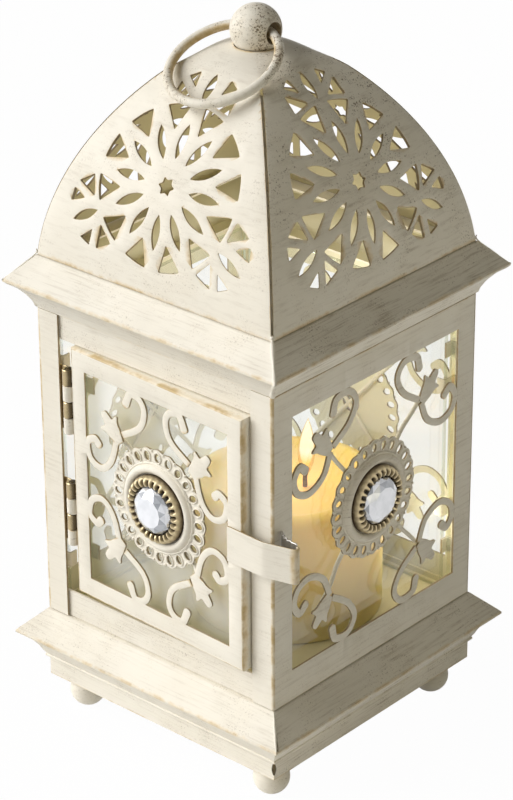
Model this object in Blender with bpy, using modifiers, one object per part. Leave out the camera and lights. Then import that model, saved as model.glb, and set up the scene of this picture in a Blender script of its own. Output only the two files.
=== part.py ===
"""Square metal candle lantern with a pierced dome, four glazed fretwork sides, one of them a hinged door,
ball feet, and a carry ring through a ball finial. Metres, +Z up, origin on the ground under the middle,
the door facing -Y."""

import math

import bmesh
import bpy
from mathutils import Matrix, Vector

# Sheet and clearances
SHEET = 0.0008
GAP = 0.0003

# Body
BODY_HALF = 0.0550
BODY_HEIGHT = 0.1217
POST_WIDTH = 0.0099
SIDE_RAIL_BOTTOM = 0.0121
SIDE_RAIL_TOP = 0.0106
SIDE_STILE = 0.0100
SILL_HEIGHT = 0.01045
LINTEL_HEIGHT = 0.0095

# Base
FOOT_RADIUS = 0.0067
FOOT_TRIM = 0.0003
FOOT_INSET = 0.0096
PLINTH_HEIGHT = 0.0077
PLINTH_PROUD = 0.0001
BASE_COVE_HEIGHT = 0.0106
MOULDING_LIP = 0.00095
SKIRT_RISE = 0.00935
SKIRT_REACH = 0.0089
BASE_TOP_FLANGE = 0.0110
BASE_FOOT_FLANGE = 0.0200
COVE_BEAD = 0.0013
COVE_DEPTH = 0.45
COVE_STEPS = 4
PAN_RIM_HEIGHT = 0.0022

# Eave
EAVE_COVE_HEIGHT = 0.0100
EAVE_REACH = 0.00825
EAVE_SLOPE_HEIGHT = 0.0091
EAVE_FLANGE = 0.0065
DOME_SET_IN = 0.0003

# Dome
DOME_MAIN_RADIUS = 0.1113
DOME_TOP_RADIUS = 0.0319
DOME_START_ANGLE = math.radians(6.31)
DOME_CROWN = 0.0020
DOME_CROWN_AT = 0.0383
DOME_ROUND_FROM = 0.0740
DOME_ROUND_FACTOR = 1.18
DOME_MAIN_ROWS = 8
DOME_TOP_ROWS = 3
DOME_COLUMNS = (-1.0, -0.5, 0.0, 0.5, 1.0)
RIDGE_SLIT = 0.0012
RIDGE_WELD_ABOVE_BEND = 0.0041
RIDGE_BEAD_RADIUS = 0.0008
RIDGE_BEAD_POINTS = 9

# Piercing of each dome face, about its rosette's middle
ROSETTE_AT = 0.0383
ROSETTE_STRETCH = 1.05
STAR_OUTER = 0.0034
STAR_INNER = 0.0021
PETAL_INNER = 0.0096
PETAL_OUTER = 0.0220
PETAL_WIDTH = 0.0033
WEDGE_APEX = 0.0193
WEDGE_OUTER = 0.0289
WEDGE_HALF_ANGLE = 9.3
SATELLITE_INNER = 0.0304
SATELLITE_OUTER = 0.0421
SATELLITE_WIDTH = 0.0032
SATELLITE_INNER_TRIANGLE = ((0.0352, 8.9), (0.0398, 15.0), (0.0418, 8.8))
SATELLITE_OUTER_TRIANGLE = ((0.0309, 9.0), (0.0312, 23.3), (0.0378, 18.5))
LENS_STEPS = 3

# Finial and carry ring
BALL_RADIUS = 0.0090
DOME_HOLE_RADIUS = 0.0077
BORE_RADIUS = 0.0036
BORE_RISE = 0.0004
RING_RADIUS = 0.0196
RING_WIRE_RADIUS = 0.0017
RING_MID_BEYOND_BORE = 0.0011
RING_LEAN = math.radians(25.5)
SCREW_RADIUS = 0.0020
SCREW_HEAD_RADIUS = 0.0038
SCREW_HEAD_HEIGHT = 0.0022
SCREW_IN_BALL = 0.0045
WASHER_RADIUS = 0.0110
WASHER_THICKNESS = 0.0010
WASHER_RIM = 0.0016

# Door, in its own frame: the hinge axis is at 0, 0 and the closed door lies along +X
HINGE_FROM_POST = 0.0045
DOOR_AJAR = math.radians(2.13)
DOOR_PROUD = 0.00072
DOOR_HINGE_EDGE = 0.0023
DOOR_LATCH_GAP = 0.0007
DOOR_SILL_GAP = 0.00305
DOOR_LINTEL_GAP = 0.00055
DOOR_DEPTH = 0.0070
DOOR_STILE = 0.0067
DOOR_RAIL = 0.0077
HINGE_BARREL_RADIUS = 0.00205
HINGE_PIN_RADIUS = 0.00075
HINGE_LEAF = 0.0006
HINGE_LEAF_REACH = 0.0108
HINGE_LENGTH = 0.0253
HINGE_FROM_DOOR_BOTTOM = 0.0184
HINGE_FROM_DOOR_TOP = 0.00935
KNUCKLES = 4

# Latch strap, along its run from the door stile
STRAP_BELOW_MIDDLE = 0.006675
STRAP_HEIGHT = 0.0136
STRAP_THICKNESS = 0.0007
STRAP_LAP = 0.0062
STRAP_BEND_INSIDE_CORNER = 0.0004
STRAP_TURN = math.radians(16.5)
STRAP_NOSE = 0.0117
STRAP_HAIRPIN_RADIUS = 0.0012
STRAP_TAIL_REACH = 0.0096
STRAP_TAIL_DROP = 0.0032

# Glazing, wires and medallions, measured inwards from a panel's outer face
GLASS_THICKNESS = 0.0020
GLASS_LAP = 0.0040
BACK_GLASS_LAP = 0.0019
GLASS_TOP_CLEARANCE = 0.0022
WIRE_RADIUS = 0.0008
WIRE_STEP = 0.0011
WIRE_WELD_STEP = 0.0001
TAB_WIDTH = 0.0060
TAB_FINGER = 0.0036
SIDE_TAB_FROM_BOTTOM = 0.0200
SIDE_TAB_FROM_TOP = 0.0217
BACK_TAB_FROM_BOTTOM = 0.0350
BACK_TAB_FROM_TOP = 0.0367
DOOR_TAB_FROM_BOTTOM = 0.0145
DOOR_TAB_FROM_TOP = 0.01665
MEDALLION_RADIUS = 0.0228
SCALLOPS = 24
SCALLOP_DEPTH = 0.0010
MEDALLION_HOLE_AT = 0.01925
MEDALLION_HOLE_LONG = 0.0019
MEDALLION_HOLE_WIDE = 0.0014
MEDALLION_EYE = 0.0040
SETTING_RADIUS = 0.0165
SETTING_RING_HEIGHT = 0.0014
CLAW_RADIUS = 0.0127
CLAW_HEIGHT = 0.0036
CRYSTAL_RADIUS = 0.0088
CRYSTAL_RISE = 0.0042
CRYSTAL_FACETS = 12

# Where a wire slopes, as shares of its way from the medallion's rim to the leaf
WIRE_SLOPE_FROM = 0.15
WIRE_SLOPE_TO = 0.72

# Scrolls: one corner of the fretwork, as distances from the corner of the window
SIDE_SCROLL_UP = (
    (0.02160, 0.01980), (0.03015, 0.01386), (0.03375, 0.00693), (0.03015, 0.00173),
    (0.02340, 0.00223), (0.02160, 0.00718),
)
SIDE_SCROLL_ACROSS = (
    (0.02025, 0.02129), (0.01665, 0.02921), (0.00945, 0.03292), (0.00315, 0.03069),
    (0.00113, 0.02525), (0.00405, 0.02104), (0.00720, 0.02326),
)
DOOR_SCROLL_UP = (
    (0.01836, 0.01820), (0.02703, 0.01241), (0.02945, 0.00579), (0.02737, 0.00145),
    (0.02287, 0.00062), (0.02044, 0.00538),
)
DOOR_SCROLL_ACROSS = (
    (0.01577, 0.01986), (0.01265, 0.03020), (0.00762, 0.03496), (0.00208, 0.03310),
    (0.00052, 0.02710), (0.00416, 0.02441), (0.00624, 0.02607),
)
SIDE_LEAF = (0.01800, 0.01881)
DOOR_LEAF = (0.01525, 0.01945)
SCROLL_WIDTH = 0.0026
SCROLL_TIP_WIDTH = 0.0034
SCROLL_STEPS = 2
LEAF_LENGTH = 0.0098
LEAF_OUTLINE = (
    (-0.33, 0.18), (0.08, 0.33), (0.36, 0.40), (0.52, 0.52), (0.60, 0.22), (0.92, 0.15), (1.0, 0.0),
)

# Candle
CANDLE_RADIUS = 0.0350
CANDLE_HEIGHT = 0.0509
CANDLE_AT = (0.0077, 0.0068)
POOL_DEPTH = 0.0030
POOL_LIP = 0.0022
WICK_RADIUS = 0.0009
WICK_HEIGHT = 0.0075
WICK_LEAN = 0.0016
WICK_FROM_MIDDLE = (0.0075, 0.0013)

# Facets
BALL_SEGMENTS = 24
BALL_RINGS = 12
FOOT_SEGMENTS = 14
FOOT_RINGS = 8
RING_STEPS = 32
TURNED_STEPS = 24
SETTING_STEPS = 20
CANDLE_STEPS = 32

# Levels
FOOT_TOP = 2 * FOOT_RADIUS - 2 * FOOT_TRIM
PLINTH_BOTTOM = FOOT_TOP + GAP
BODY_BOTTOM = PLINTH_BOTTOM + PLINTH_HEIGHT + BASE_COVE_HEIGHT + MOULDING_LIP + SKIRT_RISE
BODY_TOP = BODY_BOTTOM + BODY_HEIGHT
PAN_TOP = BODY_BOTTOM + SHEET
EAVE_BOTTOM = BODY_TOP + GAP
EAVE_TOP = EAVE_BOTTOM + EAVE_COVE_HEIGHT + MOULDING_LIP + EAVE_SLOPE_HEIGHT
DOME_BOTTOM = EAVE_TOP + GAP

# Places that follow the body: base, dome, door, hinges and latch
PLINTH_HALF = BODY_HALF + PLINTH_PROUD
DOME_BASE_HALF = BODY_HALF - DOME_SET_IN
HINGE_FROM_MIDDLE = BODY_HALF - POST_WIDTH - HINGE_FROM_POST
DOOR_WIDTH = HINGE_FROM_MIDDLE + BODY_HALF - POST_WIDTH - DOOR_LATCH_GAP - DOOR_HINGE_EDGE
DOOR_BOTTOM = SILL_HEIGHT + DOOR_SILL_GAP
DOOR_HEIGHT = BODY_HEIGHT - LINTEL_HEIGHT - DOOR_LINTEL_GAP - DOOR_BOTTOM
HINGE_LOWER_AT = DOOR_BOTTOM + HINGE_FROM_DOOR_BOTTOM
HINGE_UPPER_AT = DOOR_BOTTOM + DOOR_HEIGHT - HINGE_FROM_DOOR_TOP - HINGE_LENGTH
STRAP_START = DOOR_HINGE_EDGE + DOOR_WIDTH - STRAP_LAP
STRAP_BEND = HINGE_FROM_MIDDLE + BODY_HALF - STRAP_BEND_INSIDE_CORNER
STRAP_BOTTOM = DOOR_BOTTOM + DOOR_HEIGHT / 2 - STRAP_BELOW_MIDDLE

# Depths behind a panel's outer face
WIRE_DEPTH = SHEET + GAP + WIRE_RADIUS
WIRE_DEEP = WIRE_DEPTH + WIRE_STEP
MEDALLION_BACK = WIRE_DEEP - WIRE_RADIUS - GAP
MEDALLION_FRONT = MEDALLION_BACK - SHEET
GLASS_FRONT = WIRE_DEEP + WIRE_RADIUS + GAP
GLASS_BACK = GLASS_FRONT + GLASS_THICKNESS

BACK_FACE = BODY_HALF - SHEET - GAP

parts = bpy.data.collections.new("candle_lantern")
cutters = bpy.data.collections.new("cutters")


def clear_scene():
    for obj in list(bpy.data.objects):
        bpy.data.objects.remove(obj)
    bpy.context.scene.collection.children.link(parts)
    bpy.context.scene.collection.children.link(cutters)


def material(name, colour, roughness, metallic, transmission=0.0):
    """A plain Principled material."""
    made = bpy.data.materials.new(name)
    made.use_nodes = True
    shader = made.node_tree.nodes["Principled BSDF"]
    shader.inputs["Base Color"].default_value = (*colour, 1.0)
    shader.inputs["Roughness"].default_value = roughness
    shader.inputs["Metallic"].default_value = metallic
    shader.inputs["Transmission Weight"].default_value = transmission
    made.diffuse_color = (*colour, 1.0)
    return made


def link(name, mesh, finish=None, matrix=None):
    """A new object in the lantern's collection."""
    obj = bpy.data.objects.new(name, mesh)
    parts.objects.link(obj)
    if finish is not None:
        mesh.materials.clear()
        mesh.materials.append(finish)
    if matrix is not None:
        obj.matrix_world = matrix
    return obj


def as_helper(obj):
    """Moves an object to the cutters, where it isn't part of the lantern."""
    for collection in list(obj.users_collection):
        collection.objects.unlink(obj)
    cutters.objects.link(obj)
    obj.hide_render = True
    obj.display_type = "WIRE"
    return obj


def evaluated_mesh(obj):
    """The object's mesh as its modifiers and curve settings make it, with doubled points made one."""
    bpy.context.view_layer.update()
    graph = bpy.context.evaluated_depsgraph_get()
    mesh = bpy.data.meshes.new_from_object(obj.evaluated_get(graph))
    work = bmesh.new()
    work.from_mesh(mesh)
    bmesh.ops.remove_doubles(work, verts=work.verts, dist=0.000001)
    work.to_mesh(mesh)
    work.free()
    return mesh


def settle(obj):
    """Replaces an object's curve or modifiers by the mesh that they make, and returns the mesh object."""
    mesh = evaluated_mesh(obj)
    name = obj.name
    matrix = obj.matrix_world.copy()
    bpy.data.objects.remove(obj)
    return link(name, mesh, matrix=matrix)


def combine(target, others, operation):
    """Joins or cuts solids with exact Booleans, and removes the solids used."""
    for other in others:
        as_helper(other)
        step = target.modifiers.new("join", "BOOLEAN")
        step.operation = operation
        step.solver = "EXACT"
        step.object = other
    made = settle(target)
    for other in others:
        bpy.data.objects.remove(other)
    return made


def box(name, low, high):
    """A box between two corners."""
    mesh = bpy.data.meshes.new(name)
    work = bmesh.new()
    size = [b - a for a, b in zip(low, high)]
    middle = [(a + b) / 2 for a, b in zip(low, high)]
    bmesh.ops.create_cube(work, size=1, matrix=Matrix.Translation(middle) @ Matrix.Diagonal((*size, 1)))
    work.to_mesh(mesh)
    work.free()
    return link(name, mesh)


def plate(name, outlines, thickness, top=0.0):
    """A flat solid from closed outlines in its own X, Y plane, with its upper face at the height top."""
    curve = bpy.data.curves.new(name, "CURVE")
    curve.dimensions = "2D"
    curve.fill_mode = "BOTH"
    curve.extrude = thickness / 2
    for outline in outlines:
        spline = curve.splines.new("POLY")
        spline.points.add(len(outline) - 1)
        for point, (x, y) in zip(spline.points, outline):
            point.co = (x, y, 0, 1)
        spline.use_cyclic_u = True
    made = settle(link(name, curve))
    made.data.transform(Matrix.Translation((0, 0, top - thickness / 2)))
    return made


def tube(name, points, radius, finish=None, cyclic=False, resolution=2):
    """A round wire through the points."""
    curve = bpy.data.curves.new(name, "CURVE")
    curve.dimensions = "3D"
    curve.bevel_depth = radius
    curve.bevel_resolution = resolution
    curve.use_fill_caps = not cyclic
    spline = curve.splines.new("POLY")
    spline.points.add(len(points) - 1)
    for point, place in zip(spline.points, points):
        point.co = (*place, 1)
    spline.use_cyclic_u = cyclic
    return link(name, curve, finish)


def turned(name, profile, steps, finish=None, closed=False):
    """A profile of (radius, height) points turned about Z. It runs down its outer side."""
    mesh = bpy.data.meshes.new(name)
    count = len(profile)
    edges = [(i, i + 1) for i in range(count - 1)]
    if closed:
        edges.append((count - 1, 0))
    mesh.from_pydata([(r, 0, z) for r, z in profile], edges, [])
    obj = link(name, mesh, finish)
    screw = obj.modifiers.new("turn", "SCREW")
    screw.axis = "Z"
    screw.steps = steps
    screw.render_steps = steps
    screw.use_merge_vertices = not closed
    screw.merge_threshold = 0.00001
    screw.use_smooth_shade = steps > 4
    return obj


def smooth_round(obj, angle=40):
    """Shades a round mesh smooth, with its sharp edges kept."""
    obj.data.shade_smooth()
    obj.data.set_sharp_from_angle(angle=math.radians(angle))
    return obj


def offset_path(path, distance):
    """The path moved to its right-hand side by a distance, with mitred corners."""
    moved = []
    for i, (x, y) in enumerate(path):
        normals = []
        for a, b in ((i - 1, i), (i, i + 1)):
            if a < 0 or b >= len(path):
                continue
            along = Vector((path[b][0] - path[a][0], path[b][1] - path[a][1])).normalized()
            normals.append(Vector((along.y, -along.x)))
        bisector = sum(normals, Vector((0, 0))).normalized()
        reach = distance / bisector.dot(normals[0])
        moved.append((x + bisector.x * reach, y + bisector.y * reach))
    return moved


def square_moulding(name, path, finish):
    """A sheet moulding with four mitred corners. The path of (half width, height) points runs down its outside."""
    inner = offset_path(path, SHEET)
    section = path + inner[::-1]
    obj = turned(name, [(half * math.sqrt(2), z) for half, z in section], 4, finish, closed=True)
    obj.rotation_euler.z = math.radians(45)
    return obj


def cove(outer, inner):
    """Points of a shallow hollow between two (half width, height) points of a moulding."""
    points = []
    for i in range(1, COVE_STEPS):
        share = i / COVE_STEPS
        straight = Vector(outer).lerp(Vector(inner), share)
        turn = math.radians(90) * share
        hollow = Vector((
            outer[0] + (inner[0] - outer[0]) * math.sin(turn),
            inner[1] + (outer[1] - inner[1]) * math.cos(turn),
        ))
        points.append(tuple(straight.lerp(hollow, COVE_DEPTH)))
    return points


def base_skirt(finish):
    top = BODY_BOTTOM - GAP
    tip_half = BODY_HALF + SKIRT_REACH
    tip = BODY_BOTTOM - SKIRT_RISE
    lip = tip - MOULDING_LIP
    plinth_top = PLINTH_BOTTOM + PLINTH_HEIGHT
    bead_half = PLINTH_HALF + COVE_BEAD
    path = [(BODY_HALF - BASE_TOP_FLANGE, top), (BODY_HALF, top), (tip_half, tip), (tip_half, lip)]
    path += cove((tip_half, lip), (bead_half, plinth_top + COVE_BEAD))
    path += [
        (bead_half, plinth_top + COVE_BEAD),
        (bead_half, plinth_top),
        (PLINTH_HALF, plinth_top - COVE_BEAD / 2),
        (PLINTH_HALF, PLINTH_BOTTOM),
        (PLINTH_HALF - BASE_FOOT_FLANGE, PLINTH_BOTTOM),
    ]
    return square_moulding("base_skirt", path, finish)


def eave(finish):
    tip_half = BODY_HALF + EAVE_REACH
    lip = EAVE_BOTTOM + EAVE_COVE_HEIGHT
    path = [
        (DOME_BASE_HALF - EAVE_FLANGE, EAVE_TOP),
        (DOME_BASE_HALF, EAVE_TOP),
        (tip_half, lip + MOULDING_LIP),
        (tip_half, lip),
    ]
    path += cove((tip_half, lip), (BODY_HALF, EAVE_BOTTOM))
    path += [(BODY_HALF, EAVE_BOTTOM), (BODY_HALF - EAVE_FLANGE, EAVE_BOTTOM)]
    return square_moulding("eave", path, finish)


def feet(finish):
    """Four balls, each cut flat where it stands and where it meets the plinth."""
    profile = []
    trim = math.acos((FOOT_RADIUS - FOOT_TRIM) / FOOT_RADIUS)
    profile.append((0, FOOT_RADIUS * math.cos(trim)))
    for i in range(FOOT_RINGS + 1):
        turn = trim + (math.pi - 2 * trim) * i / FOOT_RINGS
        profile.append((FOOT_RADIUS * math.sin(turn), FOOT_RADIUS * math.cos(turn)))
    profile.append((0, -FOOT_RADIUS * math.cos(trim)))
    at = BODY_HALF - FOOT_INSET
    for name, x, y in (
        ("foot_front_left", -1, -1),
        ("foot_front_right", 1, -1),
        ("foot_back_left", -1, 1),
        ("foot_back_right", 1, 1),
    ):
        foot = turned(name, profile, FOOT_SEGMENTS, finish)
        foot.location = (x * at, y * at, FOOT_RADIUS - FOOT_TRIM)


def floor_pan(finish):
    half = BACK_FACE - SHEET - GAP
    top = PAN_TOP + PAN_RIM_HEIGHT
    profile = [
        (0, PAN_TOP), (half - SHEET, PAN_TOP), (half - SHEET, top), (half, top), (half, BODY_BOTTOM), (0, BODY_BOTTOM),
    ]
    pan = turned("floor_pan", [(r * math.sqrt(2), z) for r, z in profile], 4, finish)
    pan.rotation_euler.z = math.radians(45)


def smooth_points(points, steps):
    """Points of a smooth curve through the given ones, with this many steps between each two."""
    first = Vector(points[0]) * 2 - Vector(points[1])
    last = Vector(points[-1]) * 2 - Vector(points[-2])
    guide = [first] + [Vector(p) for p in points] + [last]
    made = []
    for i in range(1, len(guide) - 2):
        before, a, b, after = guide[i - 1:i + 3]
        for k in range(steps):
            t = k / steps
            made.append(0.5 * (
                2 * a + (b - before) * t + (2 * before - 5 * a + 4 * b - after) * t * t
                + (3 * a - before - 3 * b + after) * t ** 3
            ))
    made.append(guide[-2])
    return made


def scroll_outline(points):
    """The outline of a band along the points, which swells to a rounded tip."""
    line = smooth_points(points, SCROLL_STEPS)
    left, right = [], []
    for i, place in enumerate(line):
        along = (line[min(i + 1, len(line) - 1)] - line[max(i - 1, 0)]).normalized()
        side = Vector((-along.y, along.x))
        share = i / (len(line) - 1)
        half = (SCROLL_WIDTH + (SCROLL_TIP_WIDTH - SCROLL_WIDTH) * share ** 3) / 2
        left.append(place + side * half)
        right.append(place - side * half)
    tip = line[-1] + along * SCROLL_TIP_WIDTH / 3
    ends = [tip + side * SCROLL_TIP_WIDTH / 4, tip - side * SCROLL_TIP_WIDTH / 4]
    return [tuple(p) for p in left + ends + right[::-1]]


def leaf_outline(middle, direction):
    """A small lobed leaf that points along the direction."""
    along = Vector(direction).normalized()
    side = Vector((-along.y, along.x))
    upper = [(a * LEAF_LENGTH, b * LEAF_LENGTH) for a, b in LEAF_OUTLINE]
    lower = [(a, -b) for a, b in upper[-2::-1]]
    return [tuple(Vector(middle) + along * a + side * b) for a, b in upper + lower]


def fretwork(frame, low, high, up, across, leaf):
    """Joins the four corner motifs to a panel's frame, whose window runs from low to high."""
    middle = Vector(((low[0] + high[0]) / 2, (low[1] + high[1]) / 2))
    half = Vector(((high[0] - low[0]) / 2, (high[1] - low[1]) / 2))
    solids = []
    for x in (-1, 1):
        for y in (-1, 1):
            def place(inset):
                return Vector((middle.x + x * (half.x - inset[0]), middle.y + y * (half.y - inset[1])))
            outlines = [scroll_outline([place(p) for p in run]) for run in (up, across)]
            outlines.append(leaf_outline(place(leaf), place(leaf) - middle))
            for outline in outlines:
                solids.append(plate("scroll", [outline], SHEET))
    return combine(frame, solids, "UNION")


def rectangle(low, high):
    return [(low[0], low[1]), (high[0], low[1]), (high[0], high[1]), (low[0], high[1])]


def glass_tabs(edge, heights, depth, root):
    """Tabs bent from a sheet round a pane's upright edges at plus and minus edge, and behind its face."""
    tabs = []
    for sign in (-1, 1):
        for height in heights:
            low_z, high_z = height - TAB_WIDTH / 2, height + TAB_WIDTH / 2
            near, far = sorted((sign * (edge + GAP), sign * (edge + GAP + SHEET)))
            tabs.append(box("tab", (near, low_z, -depth - GAP - SHEET), (far, high_z, root)))
            near, far = sorted((sign * (edge + GAP + SHEET / 2), sign * (edge + GAP + SHEET - TAB_FINGER)))
            tabs.append(box("tab", (near, low_z, -depth - GAP - SHEET), (far, high_z, -depth - GAP)))
    return tabs


def facing(angle, reach, middle=(0, 0)):
    """The matrix of a panel whose own X, Y, Z are across, up and outwards, turned to face an angle about Z."""
    upright = Matrix(((0, 0, 1, 0), (1, 0, 0, 0), (0, 1, 0, 0), (0, 0, 0, 1)))
    return (
        Matrix.Rotation(angle, 4, "Z")
        @ Matrix.Translation((reach, middle[0], middle[1]))
        @ upright
    )


def medallion(name, finish, matrix):
    """A thin pierced disc with a scalloped rim."""
    rim = []
    for i in range(SCALLOPS * 2):
        turn = math.pi * i / SCALLOPS
        radius = MEDALLION_RADIUS - (SCALLOP_DEPTH if i % 2 else 0)
        rim.append((radius * math.sin(turn), radius * math.cos(turn)))
    outlines = [rim]
    for i in range(SCALLOPS):
        turn = 2 * math.pi * i / SCALLOPS
        out = Vector((math.sin(turn), math.cos(turn)))
        side = Vector((out.y, -out.x))
        middle = out * MEDALLION_HOLE_AT
        outlines.append([
            tuple(middle + out * a * MEDALLION_HOLE_LONG + side * b * MEDALLION_HOLE_WIDE)
            for a, b in ((1, 0), (0, 1), (-1, 0), (0, -1))
        ])
    outlines.append([
        (MEDALLION_EYE * math.sin(math.pi * i / 6), MEDALLION_EYE * math.cos(math.pi * i / 6)) for i in range(12)
    ])
    made = plate(name, outlines, SHEET)
    made.data.materials.append(finish)
    made.matrix_world = matrix @ Matrix.Translation((0, 0, -MEDALLION_FRONT))
    return made


def setting(name, finish, matrix):
    """A turned ring with a raised border, a groove, and a crown that holds the crystal."""
    border = SETTING_RADIUS - CLAW_RADIUS - GAP
    seat = CRYSTAL_RADIUS + GAP
    profile = [
        (0, SHEET),
        (seat, SHEET),
        (seat, CLAW_HEIGHT * 0.8),
        (seat + (CLAW_RADIUS - seat) * 0.4, CLAW_HEIGHT),
        (CLAW_RADIUS, CLAW_HEIGHT * 0.6),
        (CLAW_RADIUS, SHEET / 2),
        (SETTING_RADIUS - border, SHEET / 2),
        (SETTING_RADIUS - border * 0.8, SETTING_RING_HEIGHT * 0.8),
        (SETTING_RADIUS - border * 0.5, SETTING_RING_HEIGHT),
        (SETTING_RADIUS - border * 0.15, SETTING_RING_HEIGHT * 0.7),
        (SETTING_RADIUS, 0),
        (0, 0),
    ]
    made = turned(name, profile, SETTING_STEPS, finish)
    made.matrix_world = matrix @ Matrix.Translation((0, 0, GAP - MEDALLION_FRONT))
    return made


def crystal(name, finish, matrix):
    """A flat-backed cut stone: a girdle, a row of crown facets and a table."""
    bottom = SHEET + GAP
    top = CRYSTAL_RISE + MEDALLION_FRONT - GAP
    girdle = bottom + (top - bottom) * 0.35
    mesh = bpy.data.meshes.new(name)
    work = bmesh.new()
    bmesh.ops.create_cone(
        work, cap_ends=True, segments=CRYSTAL_FACETS, radius1=CRYSTAL_RADIUS, radius2=CRYSTAL_RADIUS,
        depth=girdle - bottom, matrix=Matrix.Translation((0, 0, (girdle + bottom) / 2)),
    )
    upper = max(work.faces, key=lambda face: face.calc_center_median().z)
    inset = bmesh.ops.inset_region(work, faces=[upper], thickness=CRYSTAL_RADIUS * 0.45, use_even_offset=False)
    middle = Vector((0, 0, girdle))
    turn = Matrix.Rotation(math.pi / CRYSTAL_FACETS, 3, "Z")
    for vertex in upper.verts:
        vertex.co = middle + turn @ (vertex.co - middle)
        vertex.co.z = top
    slopes = [face for face in inset["faces"] if len(face.verts) == 4]
    bmesh.ops.triangulate(work, faces=slopes)
    work.to_mesh(mesh)
    work.free()
    return link(name, mesh, finish, matrix @ Matrix.Translation((0, 0, GAP - MEDALLION_FRONT)))


def wire_cross(name, finish, matrix, leaf):
    """Two wires behind a medallion, whose ends rise to the back of the four leaves."""
    beyond = math.hypot(*leaf) - MEDALLION_RADIUS
    inner = MEDALLION_RADIUS + WIRE_SLOPE_FROM * beyond
    outer = MEDALLION_RADIUS + WIRE_SLOPE_TO * beyond
    wires = []
    for sign, deep in ((-1, WIRE_DEEP), (1, WIRE_DEEP + WIRE_WELD_STEP)):
        end = Vector((sign * leaf[0], leaf[1]))
        along = end.normalized()
        run = [end, along * outer, along * inner]
        points = [(p.x, p.y, -depth) for p, depth in zip(run, (WIRE_DEPTH, WIRE_DEPTH, deep))]
        points += [(-x, -y, z) for x, y, z in points[::-1]]
        wires.append(settle(tube("wire", points, WIRE_RADIUS)))
    made = combine(wires[0], [wires[1]], "UNION")
    made.name = name
    made.data.materials.append(finish)
    made.matrix_world = matrix
    return smooth_round(made)


def ornament(side, finishes, matrix, leaf):
    """The medallion with its wires, setting and crystal, about a panel's middle."""
    wire_cross(side + "wire_cross", finishes["cream"], matrix, leaf)
    medallion(side + "medallion", finishes["cream"], matrix)
    setting(side + "setting", finishes["antique"], matrix)
    crystal(side + "crystal", finishes["crystal"], matrix)


def pane(name, low, high, finish, matrix):
    """A glass pane behind a panel, between two corners of the panel's plane."""
    made = box(name, (low[0], low[1], -GLASS_BACK), (high[0], high[1], -GLASS_FRONT))
    made.data.materials.append(finish)
    made.matrix_world = matrix


def panels(finishes):
    """The two bent side sheets and the back sheet, each with its ornament and pane."""
    window_half = BODY_HALF - SIDE_STILE
    low = (-window_half, SIDE_RAIL_BOTTOM)
    high = (window_half, BODY_HEIGHT - SIDE_RAIL_TOP)
    middle = (high[1] + low[1]) / 2
    glass_top = BODY_HEIGHT - GLASS_TOP_CLEARANCE
    leaf = (window_half - SIDE_LEAF[0], (high[1] - low[1]) / 2 - SIDE_LEAF[1])
    side_tabs = (SIDE_TAB_FROM_BOTTOM, BODY_HEIGHT - SIDE_TAB_FROM_TOP)
    back_tabs = (BACK_TAB_FROM_BOTTOM, BODY_HEIGHT - BACK_TAB_FROM_TOP)
    for side, angle, reach, half, lap, tabs in (
        ("right", 0, BODY_HALF, BODY_HALF, GLASS_LAP, side_tabs),
        ("left", 180, BODY_HALF, BODY_HALF, GLASS_LAP, side_tabs),
        ("back", 90, BACK_FACE, BACK_FACE, BACK_GLASS_LAP, back_tabs),
    ):
        name = "back_panel" if side == "back" else "side_panel_" + side
        at = facing(math.radians(angle), reach, (0, BODY_BOTTOM))
        outline = rectangle((-half, 0), (half, BODY_HEIGHT))
        panel = plate(name, [outline, rectangle(low, high)], SHEET)
        panel = fretwork(panel, low, high, SIDE_SCROLL_UP, SIDE_SCROLL_ACROSS, SIDE_LEAF)
        extra = glass_tabs(window_half + lap, tabs, GLASS_BACK, -SHEET / 2)
        if side != "back":
            for sign in (-1, 1):
                near, far = sorted((sign * BODY_HALF, sign * (BODY_HALF - SHEET)))
                extra.append(box("post", (near, 0, -POST_WIDTH), (far, BODY_HEIGHT, 0)))
        panel = combine(panel, extra, "UNION")
        panel.name = name
        panel.data.materials.clear()
        panel.data.materials.append(finishes["cream"])
        panel.matrix_world = at
        pane(
            "glass_" + side,
            (-window_half - lap, SHEET + GAP),
            (window_half + lap, glass_top),
            finishes["glass"],
            at,
        )
        centre = facing(math.radians(angle), reach, (0, BODY_BOTTOM + middle))
        ornament(side + "_", finishes, centre, leaf)


def doorway(finishes):
    """The sheets above and below the door, behind the corner posts."""
    for name, low, high in (
        ("front_sill", 0, SILL_HEIGHT),
        ("front_lintel", BODY_HEIGHT - LINTEL_HEIGHT, BODY_HEIGHT),
    ):
        made = box(
            name,
            (-BACK_FACE, -BACK_FACE, BODY_BOTTOM + low),
            (BACK_FACE, SHEET - BACK_FACE, BODY_BOTTOM + high),
        )
        made.data.materials.append(finishes["cream"])


def dome_curve(along):
    """Half width, height and slope angle of the dome's ridge at a length along it from the eave."""
    centre_half = DOME_BASE_HALF - DOME_MAIN_RADIUS * math.cos(DOME_START_ANGLE)
    centre_z = DOME_BOTTOM - DOME_MAIN_RADIUS * math.sin(DOME_START_ANGLE)
    rise = math.sqrt((DOME_MAIN_RADIUS - DOME_TOP_RADIUS) ** 2 - centre_half ** 2)
    bend_angle = math.atan2(rise, -centre_half)
    bend = DOME_MAIN_RADIUS * (bend_angle - DOME_START_ANGLE)
    if along <= bend:
        angle = DOME_START_ANGLE + along / DOME_MAIN_RADIUS
        return (
            centre_half + DOME_MAIN_RADIUS * math.cos(angle),
            centre_z + DOME_MAIN_RADIUS * math.sin(angle),
            angle,
        )
    angle = bend_angle + (along - bend) / DOME_TOP_RADIUS
    return (
        DOME_TOP_RADIUS * math.cos(angle),
        centre_z + rise + DOME_TOP_RADIUS * math.sin(angle),
        angle,
    )


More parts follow.
